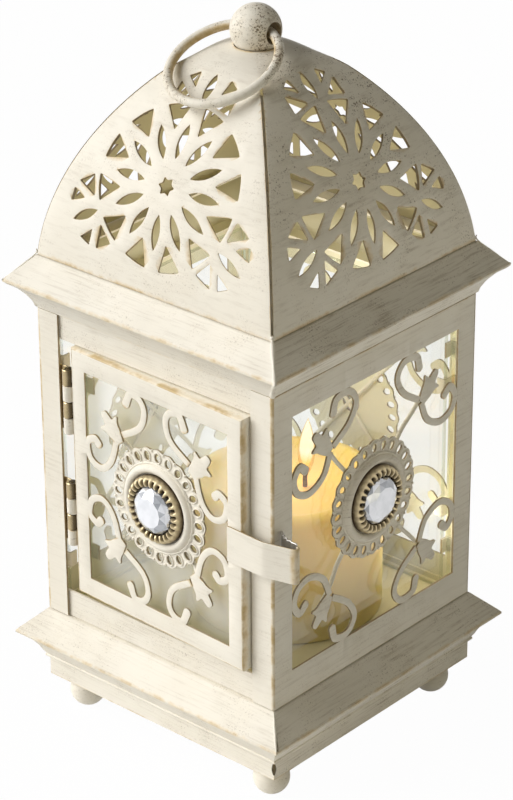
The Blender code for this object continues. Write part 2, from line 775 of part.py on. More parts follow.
def dome_lengths():
    """Lengths along the ridge of the bend between the two arcs, of the seam's end, and of the hole's edge."""
    centre_half = DOME_BASE_HALF - DOME_MAIN_RADIUS * math.cos(DOME_START_ANGLE)
    rise = math.sqrt((DOME_MAIN_RADIUS - DOME_TOP_RADIUS) ** 2 - centre_half ** 2)
    bend_angle = math.atan2(rise, -centre_half)
    bend = DOME_MAIN_RADIUS * (bend_angle - DOME_START_ANGLE)
    hole_angle = math.acos(DOME_HOLE_RADIUS / DOME_ROUND_FACTOR / DOME_TOP_RADIUS)
    return bend, bend + RIDGE_WELD_ABOVE_BEND, bend + DOME_TOP_RADIUS * (hole_angle - bend_angle)


def on_dome(across, along, depth):
    """The place of a point of a flat petal, a depth below the outer face."""
    half, z, angle = dome_curve(along)
    hole = dome_lengths()[2]
    share = across / half
    crown = 0.0
    if along < 2 * DOME_CROWN_AT:
        crown = DOME_CROWN * along * (2 * DOME_CROWN_AT - along) / DOME_CROWN_AT ** 2 * (1 - share ** 2)
    out = crown - depth
    place = Vector((half + out * math.cos(angle), 0, z + out * math.sin(angle)))
    place.y = share * (half - depth * math.cos(angle))
    rounding = min(1, max(0, (along - DOME_ROUND_FROM) / (hole - DOME_ROUND_FROM)))
    rounding = rounding * rounding * (3 - 2 * rounding)
    reach = math.hypot(place.x, place.y)
    target = (half - depth * math.cos(angle)) * DOME_ROUND_FACTOR
    scale = 1 + rounding * (target / reach - 1)
    return Vector((place.x * scale, place.y * scale, place.z))


def polar(radius, degrees):
    """A point about the rosette's middle, stretched across as the pattern is."""
    turn = math.radians(degrees)
    return (radius * math.cos(turn) * ROSETTE_STRETCH, ROSETTE_AT + radius * math.sin(turn))


def lens(inner, outer, width, degrees):
    """A pointed oval hole between two radii."""
    points = []
    for side in (1, -1):
        for i in range(LENS_STEPS):
            share = i / LENS_STEPS if side == 1 else 1 - i / LENS_STEPS
            radius = inner + (outer - inner) * share
            half = width / 2 * math.sin(math.pi * share)
            points.append(polar(radius, degrees + side * math.degrees(half / radius)))
    return points


def piercings():
    """The outlines of all holes in one petal."""
    holes = [[polar(STAR_INNER if i % 2 else STAR_OUTER, 30 * i) for i in range(12)]]
    for i in range(12):
        holes.append(lens(PETAL_INNER, PETAL_OUTER, PETAL_WIDTH, 30 * i))
        middle = 30 * i + 15
        corners = [polar(WEDGE_APEX, middle)]
        corners += [polar(WEDGE_OUTER, middle + WEDGE_HALF_ANGLE * k) for k in (-1, 0, 1)]
        holes.append(corners)
    for ray in (90, 210, 330):
        holes.append(lens(SATELLITE_INNER, SATELLITE_OUTER, SATELLITE_WIDTH, ray))
        for triangle in (SATELLITE_INNER_TRIANGLE, SATELLITE_OUTER_TRIANGLE):
            for side in (-1, 1):
                holes.append([polar(r, ray + side * turn) for r, turn in triangle])
    return holes


def petal_sheet(rows, seam_end):
    """One flat petal as a gridded plate with its holes cut, in across, along and height."""
    mesh = bpy.data.meshes.new("petal")
    work = bmesh.new()
    columns = len(DOME_COLUMNS)
    bmesh.ops.create_grid(work, x_segments=columns - 1, y_segments=len(rows) - 1, size=1)
    for vertex in work.verts:
        column = round((vertex.co.x + 1) / 2 * (columns - 1))
        row = round((vertex.co.y + 1) / 2 * (len(rows) - 1))
        half = dome_curve(rows[row])[0]
        if rows[row] < seam_end:
            half -= RIDGE_SLIT / 2
        vertex.co = (DOME_COLUMNS[column] * half, rows[row], 0)
    faces = list(work.faces)
    raised = bmesh.ops.extrude_face_region(work, geom=faces)["geom"]
    bmesh.ops.translate(work, verts=[v for v in raised if isinstance(v, bmesh.types.BMVert)], vec=(0, 0, SHEET))
    bmesh.ops.recalc_face_normals(work, faces=work.faces)
    work.to_mesh(mesh)
    work.free()
    sheet = link("petal", mesh)
    holes = plate("piercings", piercings(), SHEET * 3, SHEET * 2)
    return combine(sheet, [holes], "DIFFERENCE")


def dome_shell(finish):
    """Four pierced petals bent from one cross-shaped sheet, open along the ridges and joined round the top."""
    bend, seam_end, hole = dome_lengths()
    rows = [bend * i / DOME_MAIN_ROWS for i in range(DOME_MAIN_ROWS + 1)] + [seam_end]
    rows += [seam_end + (hole - seam_end) * i / DOME_TOP_ROWS for i in range(1, DOME_TOP_ROWS + 1)]
    sheet = petal_sheet(rows, seam_end)
    work = bmesh.new()
    for quarter in range(4):
        petal = bmesh.new()
        petal.from_mesh(sheet.data)
        inner_walls = []
        for face in petal.faces:
            middle = face.calc_center_median()
            upright = abs(face.normal.z) < 0.5 and abs(face.normal.x) > 0.1
            edge = dome_curve(middle.y)[0] - RIDGE_SLIT / 2
            if upright and middle.y > seam_end and abs(middle.x) > edge:
                inner_walls.append(face)
        bmesh.ops.delete(petal, geom=inner_walls, context="FACES_ONLY")
        bmesh.ops.triangulate(petal, faces=petal.faces)
        turn = Matrix.Rotation(math.radians(90 * quarter), 3, "Z")
        for vertex in petal.verts:
            vertex.co = turn @ on_dome(vertex.co.x, vertex.co.y, SHEET - vertex.co.z)
        made = bpy.data.meshes.new("petal")
        petal.to_mesh(made)
        petal.free()
        work.from_mesh(made)
        bpy.data.meshes.remove(made)
    bmesh.ops.remove_doubles(work, verts=work.verts, dist=0.00001)
    bmesh.ops.recalc_face_normals(work, faces=work.faces)
    mesh = bpy.data.meshes.new("dome_shell")
    work.to_mesh(mesh)
    work.free()
    bpy.data.objects.remove(sheet)
    return smooth_round(link("dome_shell", mesh, finish), 35)


def ridge_beads(finish):
    """A bead behind each ridge slit."""
    seam_end = dome_lengths()[1]
    depth = SHEET + GAP + RIDGE_BEAD_RADIUS
    first = 2 * RIDGE_BEAD_RADIUS
    for name, quarter in (("back_right", 0), ("back_left", 1), ("front_left", 2), ("front_right", 3)):
        points = []
        for i in range(RIDGE_BEAD_POINTS):
            along = first + (seam_end - depth - first) * i / (RIDGE_BEAD_POINTS - 1)
            half, z, angle = dome_curve(along)
            inset = half - depth * math.cos(angle)
            place = Matrix.Rotation(math.radians(90 * quarter), 3, "Z") @ Vector((inset, inset, 0))
            points.append((place.x, place.y, z - depth * math.sin(angle)))
        tube("ridge_bead_" + name, points, RIDGE_BEAD_RADIUS, finish, resolution=1)


def finial(finishes):
    """The ball with its bore, the screw and cup washer that hold it, and the ring that hangs in the bore."""
    edge_z = dome_curve(dome_lengths()[2])[1]
    middle = edge_z + math.sqrt((BALL_RADIUS + GAP) ** 2 - DOME_HOLE_RADIUS ** 2)
    bottom = middle - BALL_RADIUS

    mesh = bpy.data.meshes.new("finial_ball")
    work = bmesh.new()
    bmesh.ops.create_uvsphere(work, u_segments=BALL_SEGMENTS, v_segments=BALL_RINGS, radius=BALL_RADIUS)
    work.to_mesh(mesh)
    work.free()
    ball = link("finial_ball", mesh, matrix=Matrix.Translation((0, 0, middle)))
    bore_z = middle + BORE_RISE
    cutter_length = 3 * BALL_RADIUS
    bore = turned("bore", [
        (0, cutter_length / 2), (BORE_RADIUS, cutter_length / 2), (BORE_RADIUS, -cutter_length / 2),
        (0, -cutter_length / 2),
    ], BALL_SEGMENTS)
    bore.matrix_world = Matrix.Translation((0, 0, bore_z)) @ Matrix.Rotation(math.pi / 2, 4, "Y")
    socket_radius = SCREW_RADIUS + GAP
    socket = turned("socket", [
        (0, bottom + SCREW_IN_BALL + GAP), (socket_radius, bottom + SCREW_IN_BALL + GAP),
        (socket_radius, bottom - BALL_RADIUS), (0, bottom - BALL_RADIUS),
    ], 12)
    ball = combine(ball, [bore, socket], "DIFFERENCE")
    ball.name = "finial_ball"
    ball.data.materials.append(finishes["cream"])
    smooth_round(ball)

    washer_top = bottom - GAP
    rim_angle = math.acos(WASHER_RADIUS / DOME_ROUND_FACTOR / DOME_TOP_RADIUS)
    dome_over_rim = edge_z - DOME_TOP_RADIUS * (
        math.sin(math.acos(DOME_HOLE_RADIUS / DOME_ROUND_FACTOR / DOME_TOP_RADIUS)) - math.sin(rim_angle)
    )
    rim_top = dome_over_rim - SHEET / math.sin(rim_angle) - GAP
    turned("finial_washer", [
        (WASHER_RADIUS - WASHER_RIM, washer_top),
        (WASHER_RADIUS - WASHER_RIM, rim_top),
        (WASHER_RADIUS, rim_top),
        (WASHER_RADIUS, washer_top - WASHER_THICKNESS),
        (socket_radius, washer_top - WASHER_THICKNESS),
        (socket_radius, washer_top),
    ], TURNED_STEPS, finishes["steel"], closed=True)

    head_top = washer_top - WASHER_THICKNESS - GAP
    turned("finial_screw", [
        (0, bottom + SCREW_IN_BALL),
        (SCREW_RADIUS, bottom + SCREW_IN_BALL),
        (SCREW_RADIUS, head_top),
        (SCREW_HEAD_RADIUS, head_top),
        (SCREW_HEAD_RADIUS * 0.9, head_top - SCREW_HEAD_HEIGHT * 0.6),
        (SCREW_HEAD_RADIUS * 0.5, head_top - SCREW_HEAD_HEIGHT),
        (0, head_top - SCREW_HEAD_HEIGHT),
    ], 12, finishes["steel"])

    pivot = bpy.data.objects.new("ring_pivot", None)
    parts.objects.link(pivot)
    pivot.location = (0, 0, bore_z)
    pivot.rotation_euler.x = RING_LEAN
    points = []
    for i in range(RING_STEPS):
        turn = 2 * math.pi * i / RING_STEPS
        points.append((
            RING_RADIUS * math.sin(turn),
            RING_MID_BEYOND_BORE - RING_RADIUS + RING_RADIUS * math.cos(turn),
            0,
        ))
    ring = tube("carry_ring", points, RING_WIRE_RADIUS, finishes["cream"], cyclic=True)
    ring.parent = pivot


def hinge_solid(name, boxes, first, reach_z, finish, parent):
    """A leaf of flat boxes joined to every second knuckle, about the hinge axis."""
    knuckle = (HINGE_LENGTH - GAP * (KNUCKLES - 1)) / KNUCKLES
    solids = [box("leaf", low, high) for low, high in boxes]
    bore = HINGE_PIN_RADIUS + GAP
    for i in range(first, KNUCKLES, 2):
        low = HINGE_LENGTH - (i + 1) * knuckle - i * GAP
        barrel = turned("barrel", [
            (HINGE_BARREL_RADIUS, low + knuckle), (HINGE_BARREL_RADIUS, low), (bore, low), (bore, low + knuckle),
        ], 12, closed=True)
        solids.append(settle(barrel))
    made = combine(solids[0], solids[1:], "UNION")
    made.name = name
    made.data.materials.append(finish)
    made.parent = parent
    made.location = (0, 0, reach_z)
    return smooth_round(made)


def hinges(finishes, body_axis, door_axis):
    """Two butt hinges: a leaf behind the corner post, a leaf on the door's wall, and a pin."""
    knuckle = (HINGE_LENGTH - GAP * (KNUCKLES - 1)) / KNUCKLES
    clear = HINGE_BARREL_RADIUS + GAP
    for which, height in (("upper", HINGE_UPPER_AT), ("lower", HINGE_LOWER_AT)):
        back = SHEET + GAP
        body_boxes = [((-HINGE_LEAF_REACH, back, 0), (-clear, back + HINGE_LEAF, HINGE_LENGTH))]
        door_far = DOOR_HINGE_EDGE - GAP
        door_boxes = [(
            (door_far - HINGE_LEAF, clear, 0),
            (door_far, DOOR_DEPTH - DOOR_PROUD - GAP, HINGE_LENGTH),
        )]
        for i in range(KNUCKLES):
            low = HINGE_LENGTH - (i + 1) * knuckle - i * GAP
            if i % 2 == 0:
                body_boxes.append(((-clear - GAP, back, low), (0, back + HINGE_LEAF, low + knuckle)))
            else:
                door_boxes.append(((door_far - HINGE_LEAF, 0, low), (door_far, clear + GAP, low + knuckle)))
        base = BODY_BOTTOM + height
        prefix = "hinge_" + which
        hinge_solid(prefix + "_body_leaf", body_boxes, 0, base, finishes["bronze"], body_axis)
        hinge_solid(prefix + "_door_leaf", door_boxes, 1, base, finishes["cream"], door_axis)
        pin = turned(prefix + "_pin", [
            (0, HINGE_LENGTH + GAP), (HINGE_PIN_RADIUS, HINGE_LENGTH), (HINGE_PIN_RADIUS, 0), (0, -GAP),
        ], 10, finishes["bronze"])
        pin.parent = body_axis
        pin.location = (0, 0, base)


def latch_strap(finish, door_axis):
    """A strip fixed on the door's stile that bends back past the corner post and hooks round it."""
    front = -DOOR_PROUD - GAP - STRAP_THICKNESS / 2
    points = [Vector((STRAP_START, front)), Vector((STRAP_BEND, front))]
    along = Vector((math.cos(STRAP_TURN), math.sin(STRAP_TURN)))
    nose = points[-1] + along * STRAP_NOSE
    points.append(nose)
    side = Vector((-along.y, along.x))
    centre = nose + side * STRAP_HAIRPIN_RADIUS
    for i in range(1, 5):
        turn = math.radians(45 * i)
        points.append(centre + (along * math.sin(turn) - side * math.cos(turn)) * STRAP_HAIRPIN_RADIUS)
    tail = points[-1]
    for share, drop in ((0.45, 0.12), (0.8, 0.5), (1.0, 1.0)):
        points.append(tail + Vector((-STRAP_TAIL_REACH * share, STRAP_TAIL_DROP * drop)))
    line = [tuple(p) for p in points]
    left = offset_path(line, STRAP_THICKNESS / 2)
    right = offset_path(line, -STRAP_THICKNESS / 2)
    made = plate("latch_strap", [left + right[::-1]], STRAP_HEIGHT, STRAP_HEIGHT)
    made.data.materials.append(finish)
    made.parent = door_axis
    made.location = (0, 0, BODY_BOTTOM + STRAP_BOTTOM)
    smooth_round(made, 50)


def door(finishes, door_axis):
    """The pressed tray with its fretwork, pane and ornament, on the hinge axis."""
    middle = DOOR_HINGE_EDGE + DOOR_WIDTH / 2
    half = DOOR_WIDTH / 2
    outline = rectangle((-half, 0), (half, DOOR_HEIGHT))
    low = (-half + DOOR_STILE, DOOR_RAIL)
    high = (half - DOOR_STILE, DOOR_HEIGHT - DOOR_RAIL)
    tray = plate("door_frame", [outline, rectangle(low, high)], SHEET)
    tray = fretwork(tray, low, high, DOOR_SCROLL_UP, DOOR_SCROLL_ACROSS, DOOR_LEAF)
    wall = plate("wall", [
        outline, rectangle((-half + SHEET, SHEET), (half - SHEET, DOOR_HEIGHT - SHEET)),
    ], DOOR_DEPTH)
    extra = [wall]
    for sign in (-1, 1):
        for z in (DOOR_TAB_FROM_BOTTOM, DOOR_HEIGHT - DOOR_TAB_FROM_TOP):
            near, far = sorted((sign * (half - SHEET / 2), sign * (half - SHEET - TAB_FINGER)))
            extra.append(box(
                "tab", (near, z - TAB_WIDTH / 2, -DOOR_DEPTH), (far, z + TAB_WIDTH / 2, -GLASS_BACK - GAP),
            ))
    tray = combine(tray, extra, "UNION")
    tray.name = "door_frame"
    tray.data.materials.clear()
    tray.data.materials.append(finishes["cream"])

    outward = Matrix.Rotation(math.radians(-90), 4, "Z")
    shift = Matrix.Translation((middle, 0, BODY_BOTTOM + DOOR_BOTTOM))
    panel_frame = facing(0, DOOR_PROUD)
    at = door_axis.matrix_world @ shift @ outward @ panel_frame
    tray.matrix_world = at
    pane(
        "door_glass",
        (-half + SHEET + GAP, SHEET + GAP),
        (half - SHEET - GAP, DOOR_HEIGHT - SHEET - GAP),
        finishes["glass"],
        at,
    )
    centre = at @ Matrix.Translation((0, DOOR_HEIGHT / 2, 0))
    leaf = ((high[0] - low[0]) / 2 - DOOR_LEAF[0], (high[1] - low[1]) / 2 - DOOR_LEAF[1])
    ornament("door_", finishes, centre, leaf)
    bpy.context.view_layer.update()
    for name in (
        "door_frame", "door_glass", "door_wire_cross", "door_medallion", "door_setting", "door_crystal",
    ):
        child = bpy.data.objects[name]
        place = child.matrix_world.copy()
        child.parent = door_axis
        child.matrix_parent_inverse = door_axis.matrix_world.inverted()
        child.matrix_world = place


def candle(finishes):
    """A pillar candle with a melted pool, and its leaning wick."""
    bottom = PAN_TOP + GAP
    top = bottom + CANDLE_HEIGHT
    pool = top - POOL_DEPTH
    made = turned("candle", [
        (0, pool),
        (CANDLE_RADIUS - 3 * POOL_LIP, pool),
        (CANDLE_RADIUS - 1.6 * POOL_LIP, pool + POOL_DEPTH * 0.7),
        (CANDLE_RADIUS - POOL_LIP, top),
        (CANDLE_RADIUS - POOL_LIP / 2, top),
        (CANDLE_RADIUS, top - POOL_LIP / 2),
        (CANDLE_RADIUS, bottom),
        (0, bottom),
    ], CANDLE_STEPS, finishes["wax"])
    made.location = (*CANDLE_AT, 0)
    x = CANDLE_AT[0] + WICK_FROM_MIDDLE[0]
    y = CANDLE_AT[1] + WICK_FROM_MIDDLE[1]
    tube("wick", [
        (x, y, pool + GAP),
        (x, y, pool + GAP + WICK_HEIGHT * 0.5),
        (x + WICK_LEAN / 2, y, pool + GAP + WICK_HEIGHT * 0.8),
        (x + WICK_LEAN, y, pool + GAP + WICK_HEIGHT),
    ], WICK_RADIUS, finishes["wick"])


def main():
    clear_scene()
    finishes = {
        "cream": material("cream_paint", (0.80, 0.74, 0.62), 0.55, 0.0),
        "antique": material("antique_gilt", (0.52, 0.43, 0.27), 0.45, 0.6),
        "bronze": material("dark_bronze", (0.13, 0.09, 0.05), 0.45, 0.8),
        "steel": material("plated_steel", (0.55, 0.53, 0.50), 0.35, 1.0),
        "glass": material("pane_glass", (0.86, 0.92, 0.88), 0.03, 0.0, 1.0),
        "crystal": material("cut_glass", (0.95, 0.97, 0.98), 0.02, 0.0, 0.9),
        "wax": material("candle_wax", (0.86, 0.76, 0.48), 0.5, 0.0),
        "wick": material("burnt_wick", (0.05, 0.04, 0.03), 0.9, 0.0),
    }
    base_skirt(finishes["cream"])
    feet(finishes["cream"])
    floor_pan(finishes["cream"])
    panels(finishes)
    doorway(finishes)
    eave(finishes["cream"])
    dome_shell(finishes["cream"])
    ridge_beads(finishes["cream"])
    finial(finishes)

    body_axis = bpy.data.objects.new("hinge_axis_on_body", None)
    parts.objects.link(body_axis)
    body_axis.location = (-HINGE_FROM_MIDDLE, -BODY_HALF, 0)
    door_axis = bpy.data.objects.new("door_hinge_axis", None)
    parts.objects.link(door_axis)
    door_axis.location = body_axis.location
    door_axis.rotation_euler.z = -DOOR_AJAR
    bpy.context.view_layer.update()
    hinges(finishes, body_axis, door_axis)
    door(finishes, door_axis)
    latch_strap(finishes["cream"], door_axis)
    candle(finishes)


main()
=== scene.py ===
"""Looks of a square candle lantern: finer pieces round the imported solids, their finishes, and a plain studio.

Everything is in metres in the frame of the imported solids: Z up, the ground at 0, the door facing -Y.
"""

import math

import bmesh
import bpy
from bpy.props import FloatProperty, FloatVectorProperty, PointerProperty
from mathutils import Matrix, Vector
from mathutils.geometry import delaunay_2d_cdt


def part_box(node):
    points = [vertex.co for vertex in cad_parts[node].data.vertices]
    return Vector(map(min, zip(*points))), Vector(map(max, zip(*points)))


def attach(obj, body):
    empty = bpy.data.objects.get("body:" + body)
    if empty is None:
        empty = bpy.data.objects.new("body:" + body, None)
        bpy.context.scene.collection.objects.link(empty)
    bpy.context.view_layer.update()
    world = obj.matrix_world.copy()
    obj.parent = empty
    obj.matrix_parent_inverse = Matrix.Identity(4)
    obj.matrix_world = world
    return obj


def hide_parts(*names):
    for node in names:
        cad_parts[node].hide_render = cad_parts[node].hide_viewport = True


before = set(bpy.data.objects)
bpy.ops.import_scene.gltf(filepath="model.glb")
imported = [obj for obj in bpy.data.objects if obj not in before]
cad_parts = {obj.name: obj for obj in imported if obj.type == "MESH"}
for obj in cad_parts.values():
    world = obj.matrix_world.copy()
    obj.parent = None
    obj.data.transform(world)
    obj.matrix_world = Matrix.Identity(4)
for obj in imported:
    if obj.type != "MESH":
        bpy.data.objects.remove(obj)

bl_info = {
    "name": "Candle lantern looks",
    "version": (1, 0, 0),
    "blender": (4, 5, 0),
    "location": "3D View > Sidebar > Lantern",
    "description": "Dresses the packed candle lantern in painted metal, glass, wax and flame",
    "category": "Object",
}

# The photograph's camera, about the middle of the body's bottom edge, in body widths
IMAGE_HEIGHT = 800
SENSOR = 36.0
FOCAL_PIXELS = 3185.57
CAMERA_AZIMUTH = math.radians(41.538)
CAMERA_ELEVATION = math.radians(26.760)
CAMERA_ROLL = math.radians(-0.372)
CAMERA_DISTANCE = 10.708
CAMERA_ACROSS = -0.00989
CAMERA_UP = 0.66798

# Sheet and body, as in the solids
SHEET = 0.0008
GAP = 0.0003
BODY_HALF = 0.0550
BACK_HALF = BODY_HALF - SHEET - GAP
BODY_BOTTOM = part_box("front_sill")[0].z
BODY_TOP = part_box("front_lintel")[1].z
BODY_HEIGHT = BODY_TOP - BODY_BOTTOM
POST_WIDTH = 0.0099
POST_BEND = 0.0009
SIDE_RAIL_BOTTOM = 0.0121
SIDE_RAIL_TOP = 0.0106
SIDE_STILE = 0.0100

# Base
FOOT_RADIUS = 0.0067
FOOT_TRIM = 0.0003
PLINTH_HALF = 0.0551
PLINTH_HEIGHT = 0.0077
PLINTH_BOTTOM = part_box("base_skirt")[0].z
SKIRT_RISE = 0.00935
SKIRT_REACH = 0.0089
MOULDING_LIP = 0.00095
MOULDING_SLOPE_END = 0.0016
LIP_WEAR = 0.82
BASE_TOP_FLANGE = 0.0110
BASE_FOOT_FLANGE = 0.0200
COVE_BEAD = 0.0013
PLINTH_BEAD_RADIUS = 0.0007
PLINTH_BEAD_RISE = 0.00055
COVE_DEPTH = 0.45
COVE_STEPS = 10

# Eave
EAVE_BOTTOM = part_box("eave")[0].z
EAVE_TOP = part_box("eave")[1].z
EAVE_COVE_HEIGHT = 0.0100
EAVE_REACH = 0.00825
EAVE_FLANGE = 0.0065
SOLDER_INSET = 0.00035
SOLDER_RADIUS = 0.00062
SOLDER_RIPPLE = 0.00016
SOLDER_DROP = 0.0004
SOLDER_SHARE = {"front_right": 1.0, "front_left": 0.45, "back_right": 0.45, "back_left": 0.45}

# Dome: below its bend an arc about a middle beyond the axis, above it an arc about the axis
DOME_BASE_HALF = 0.0547
DOME_BOTTOM = EAVE_TOP + GAP
DOME_MAIN_RADIUS = 0.1113
DOME_TOP_RADIUS = 0.0319
DOME_START_ANGLE = math.radians(6.31)
DOME_CENTRE_HALF = DOME_BASE_HALF - DOME_MAIN_RADIUS * math.cos(DOME_START_ANGLE)
DOME_CENTRE_Z = DOME_BOTTOM - DOME_MAIN_RADIUS * math.sin(DOME_START_ANGLE)
DOME_RISE = math.sqrt((DOME_MAIN_RADIUS - DOME_TOP_RADIUS) ** 2 - DOME_CENTRE_HALF ** 2)
DOME_BEND_ANGLE = math.atan2(DOME_RISE, -DOME_CENTRE_HALF)
DOME_BEND = DOME_MAIN_RADIUS * (DOME_BEND_ANGLE - DOME_START_ANGLE)
DOME_CROWN = 0.0020
DOME_CROWN_AT = 0.0383
DOME_ROUND_FROM = 0.0740
DOME_ROUND_FACTOR = 1.18
DOME_HOLE_RADIUS = 0.0077
DOME_HOLE_ANGLE = math.acos(DOME_HOLE_RADIUS / DOME_ROUND_FACTOR / DOME_TOP_RADIUS)
DOME_HOLE = DOME_BEND + DOME_TOP_RADIUS * (DOME_HOLE_ANGLE - DOME_BEND_ANGLE)
DOME_ROWS = 34
DOME_COLUMNS = 18
RIDGE_SLIT = 0.0012
RIDGE_WELD_ABOVE_BEND = 0.0041
SEAM_END = DOME_BEND + RIDGE_WELD_ABOVE_BEND
RIDGE_BEAD_RADIUS = 0.0008
ROSETTE_AT = 0.0383
ROSETTE_STRETCH = 1.05
STAR_OUTER = 0.0034
STAR_INNER = 0.0021
PETAL_INNER = 0.0096
PETAL_OUTER = 0.0220
PETAL_WIDTH = 0.0033
WEDGE_APEX = 0.0193
WEDGE_OUTER = 0.0289
WEDGE_HALF_ANGLE = 9.3
PIERCING_CORNER = 0.0006
SATELLITE_INNER = 0.0304
SATELLITE_OUTER = 0.0421
SATELLITE_WIDTH = 0.0032
SATELLITE_INNER_TRIANGLE = ((0.0352, 8.9), (0.0398, 15.0), (0.0418, 8.8))
SATELLITE_OUTER_TRIANGLE = ((0.0309, 9.0), (0.0312, 23.3), (0.0378, 18.5))

# Finial and ring
BALL_RADIUS = 0.0090
BORE_RADIUS = 0.0036
BORE_RISE = 0.0004
BORE_FLARE = 0.0004
RING_RADIUS = 0.0196
RING_WIRE_RADIUS = 0.0017
RING_MID_BEYOND_BORE = 0.0011
RING_LEAN = math.radians(25.5)

# Door, in its own frame: the hinge axis is at 0, 0 and the closed door lies along +X
HINGE_FROM_MIDDLE = 0.0406
DOOR_AJAR = math.radians(2.13)
DOOR_PROUD = 0.00072
DOOR_HINGE_EDGE = 0.0023
DOOR_WIDTH = 0.0827
DOOR_BOTTOM = 0.0135
DOOR_HEIGHT = 0.09815
DOOR_DEPTH = 0.0070
DOOR_STILE = 0.0067
DOOR_RAIL = 0.0077
DOOR_BEND = 0.0007
HINGE_BARREL_RADIUS = 0.00205
HINGE_PIN_RADIUS = 0.00075
HINGE_LEAF = 0.0006
HINGE_LEAF_REACH = 0.0108
HINGE_LENGTH = 0.0253
HINGE_HEIGHTS = {"upper": 0.0770, "lower": 0.0319}
KNUCKLES = 4
STRAP_BOTTOM = 0.0559
STRAP_HEIGHT = 0.0136
STRAP_THICKNESS = 0.0007
STRAP_START = 0.0788
STRAP_BEND = 0.0952
STRAP_TURN = math.radians(16.5)
STRAP_NOSE = 0.0117
STRAP_HAIRPIN_RADIUS = 0.0012
STRAP_TAIL_REACH = 0.0096
STRAP_TAIL_DROP = 0.0032
STRAP_TAIL_PROUD = 0.0009
STRAP_CRUMPLE = 0.00045

# Glazing, wires and medallions, measured inwards from a panel's outer face
WIRE_RADIUS = 0.0008
WIRE_DEPTH = SHEET + GAP + WIRE_RADIUS
WIRE_DEEP = WIRE_DEPTH + 0.0011
WIRE_SLOPE_FROM = 0.15
WIRE_SLOPE_TO = 0.72
MEDALLION_BACK = WIRE_DEEP - WIRE_RADIUS - GAP
MEDALLION_FRONT = MEDALLION_BACK - SHEET
GLASS_FRONT = WIRE_DEEP + WIRE_RADIUS + GAP
GLASS_BACK = GLASS_FRONT + 0.0020
GLASS_LAP = 0.0040
BACK_GLASS_LAP = 0.0019
GLASS_BELOW_EAVE = 0.0022
GLASS_CORNER = 0.0006
GLASS_BEVEL = 0.0003
TAB_WIDTH = 0.0060
TAB_BEND = 0.0006
TAB_FINGER = 0.0036
SIDE_TAB_HEIGHTS = (0.0200, 0.1000)
BACK_TAB_HEIGHTS = (0.0350, 0.0850)
DOOR_TAB_HEIGHTS = (0.0145, 0.0815)
MEDALLION_RADIUS = 0.0228
SCALLOP = 0.0004
LOOPS = 24
LOOP_AT = 0.0196
LOOP_HOLE = (0.0018, 0.0013)
LOOP_WIRE = (0.00208, 0.00158)
LOOP_WIRE_RADIUS = 0.0003
EYE_RADIUS = 0.0040
CAST_BEAD = ((0.0, 0.0005, 0.3), (0.0004, 0.00035, 0.2), (0.00055, 0.0, 0.0), (0.00055, -0.0004, 0.0))
CAST_RIM = (
    (0.01745, 0.0, 0.0), (0.0173, 0.0004, 0.1), (0.0170, 0.0006, 0.3), (0.0167, 0.0004, 0.1),
    (0.0165, 0.0003, 0.0), (0.0163, 0.0007, 0.0), (0.0159, 0.0012, 0.0), (0.0153, 0.0016, 0.1),
    (0.0147, 0.0017, 0.15), (0.0141, 0.0015, 0.1), (0.0136, 0.0011, 0.0), (0.0133, 0.0006, 0.2),
    (0.0131, 0.0, 0.0),
)
CLAWS = 27
CLAW_RADIUS = 0.0126
CLAW_HEIGHT = 0.0036
CLAW_KNOB = 0.0002
CLAW_NOTCH = 0.0022
CROWN = (
    (1.02, 0.0), (1.015, 0.25), (1.0, 0.45), (0.975, 0.64), (0.945, 0.8), (0.91, 0.91), (0.87, 0.98),
    (0.83, 1.0), (0.79, 0.98), (0.75, 0.92), (0.715, 0.84),
)
CRYSTAL_RADIUS = 0.0088
CRYSTAL_RISE = 0.0042
CRYSTAL_SIDES = 12
CRYSTAL_GIRDLE = 0.0016
CRYSTAL_BREAK = (0.89, 0.0028)
CRYSTAL_TABLE = 0.64

# Scrolls: one corner of the fretwork, as distances from the corner of the window
SIDE_SCROLL_UP = (
    (0.02160, 0.01980), (0.03015, 0.01386), (0.03375, 0.00693), (0.03015, 0.00173),
    (0.02340, 0.00223), (0.02160, 0.00718),
)
SIDE_SCROLL_ACROSS = (
    (0.02025, 0.02129), (0.01665, 0.02921), (0.00945, 0.03292), (0.00315, 0.03069),
    (0.00113, 0.02525), (0.00405, 0.02104), (0.00720, 0.02326),
)
DOOR_SCROLL_UP = (
    (0.01836, 0.01820), (0.02703, 0.01241), (0.02945, 0.00579), (0.02737, 0.00145),
    (0.02287, 0.00062), (0.02044, 0.00538),
)
DOOR_SCROLL_ACROSS = (
    (0.01577, 0.01986), (0.01265, 0.03020), (0.00762, 0.03496), (0.00208, 0.03310),
    (0.00052, 0.02710), (0.00416, 0.02441), (0.00624, 0.02607),
)
SIDE_LEAF = (0.01800, 0.01881)
DOOR_LEAF = (0.01525, 0.01945)
SCROLL_WIDTH = 0.0026
SCROLL_TIP_WIDTH = 0.0034
SCROLL_STEPS = 7
LEAF_LENGTH = 0.0098
LEAF_OUTLINE = (
    (-0.33, 0.18), (0.08, 0.33), (0.26, 0.36), (0.38, 0.42), (0.48, 0.51), (0.53, 0.53), (0.57, 0.49),
    (0.57, 0.38), (0.56, 0.28), (0.59, 0.21), (0.66, 0.20), (0.80, 0.18), (0.92, 0.15), (0.98, 0.10),
    (1.0, 0.0),
)

# Candle
CANDLE_RADIUS = 0.0350
CANDLE_AT = (0.0077, 0.0068)
POOL_DEPTH = 0.0030
WAX_SHOULDER = 0.0042
WAX_SHADE_HEIGHT = 0.040
GLOW_REACH = 0.053
WICK_RADIUS = 0.0009
WICK_LEAN = 0.0016
WICK_FROM_MIDDLE = (0.0075, 0.0013)
WICK_AT = (CANDLE_AT[0] + WICK_FROM_MIDDLE[0], CANDLE_AT[1] + WICK_FROM_MIDDLE[1])
FLAME_LEAN = 0.0010

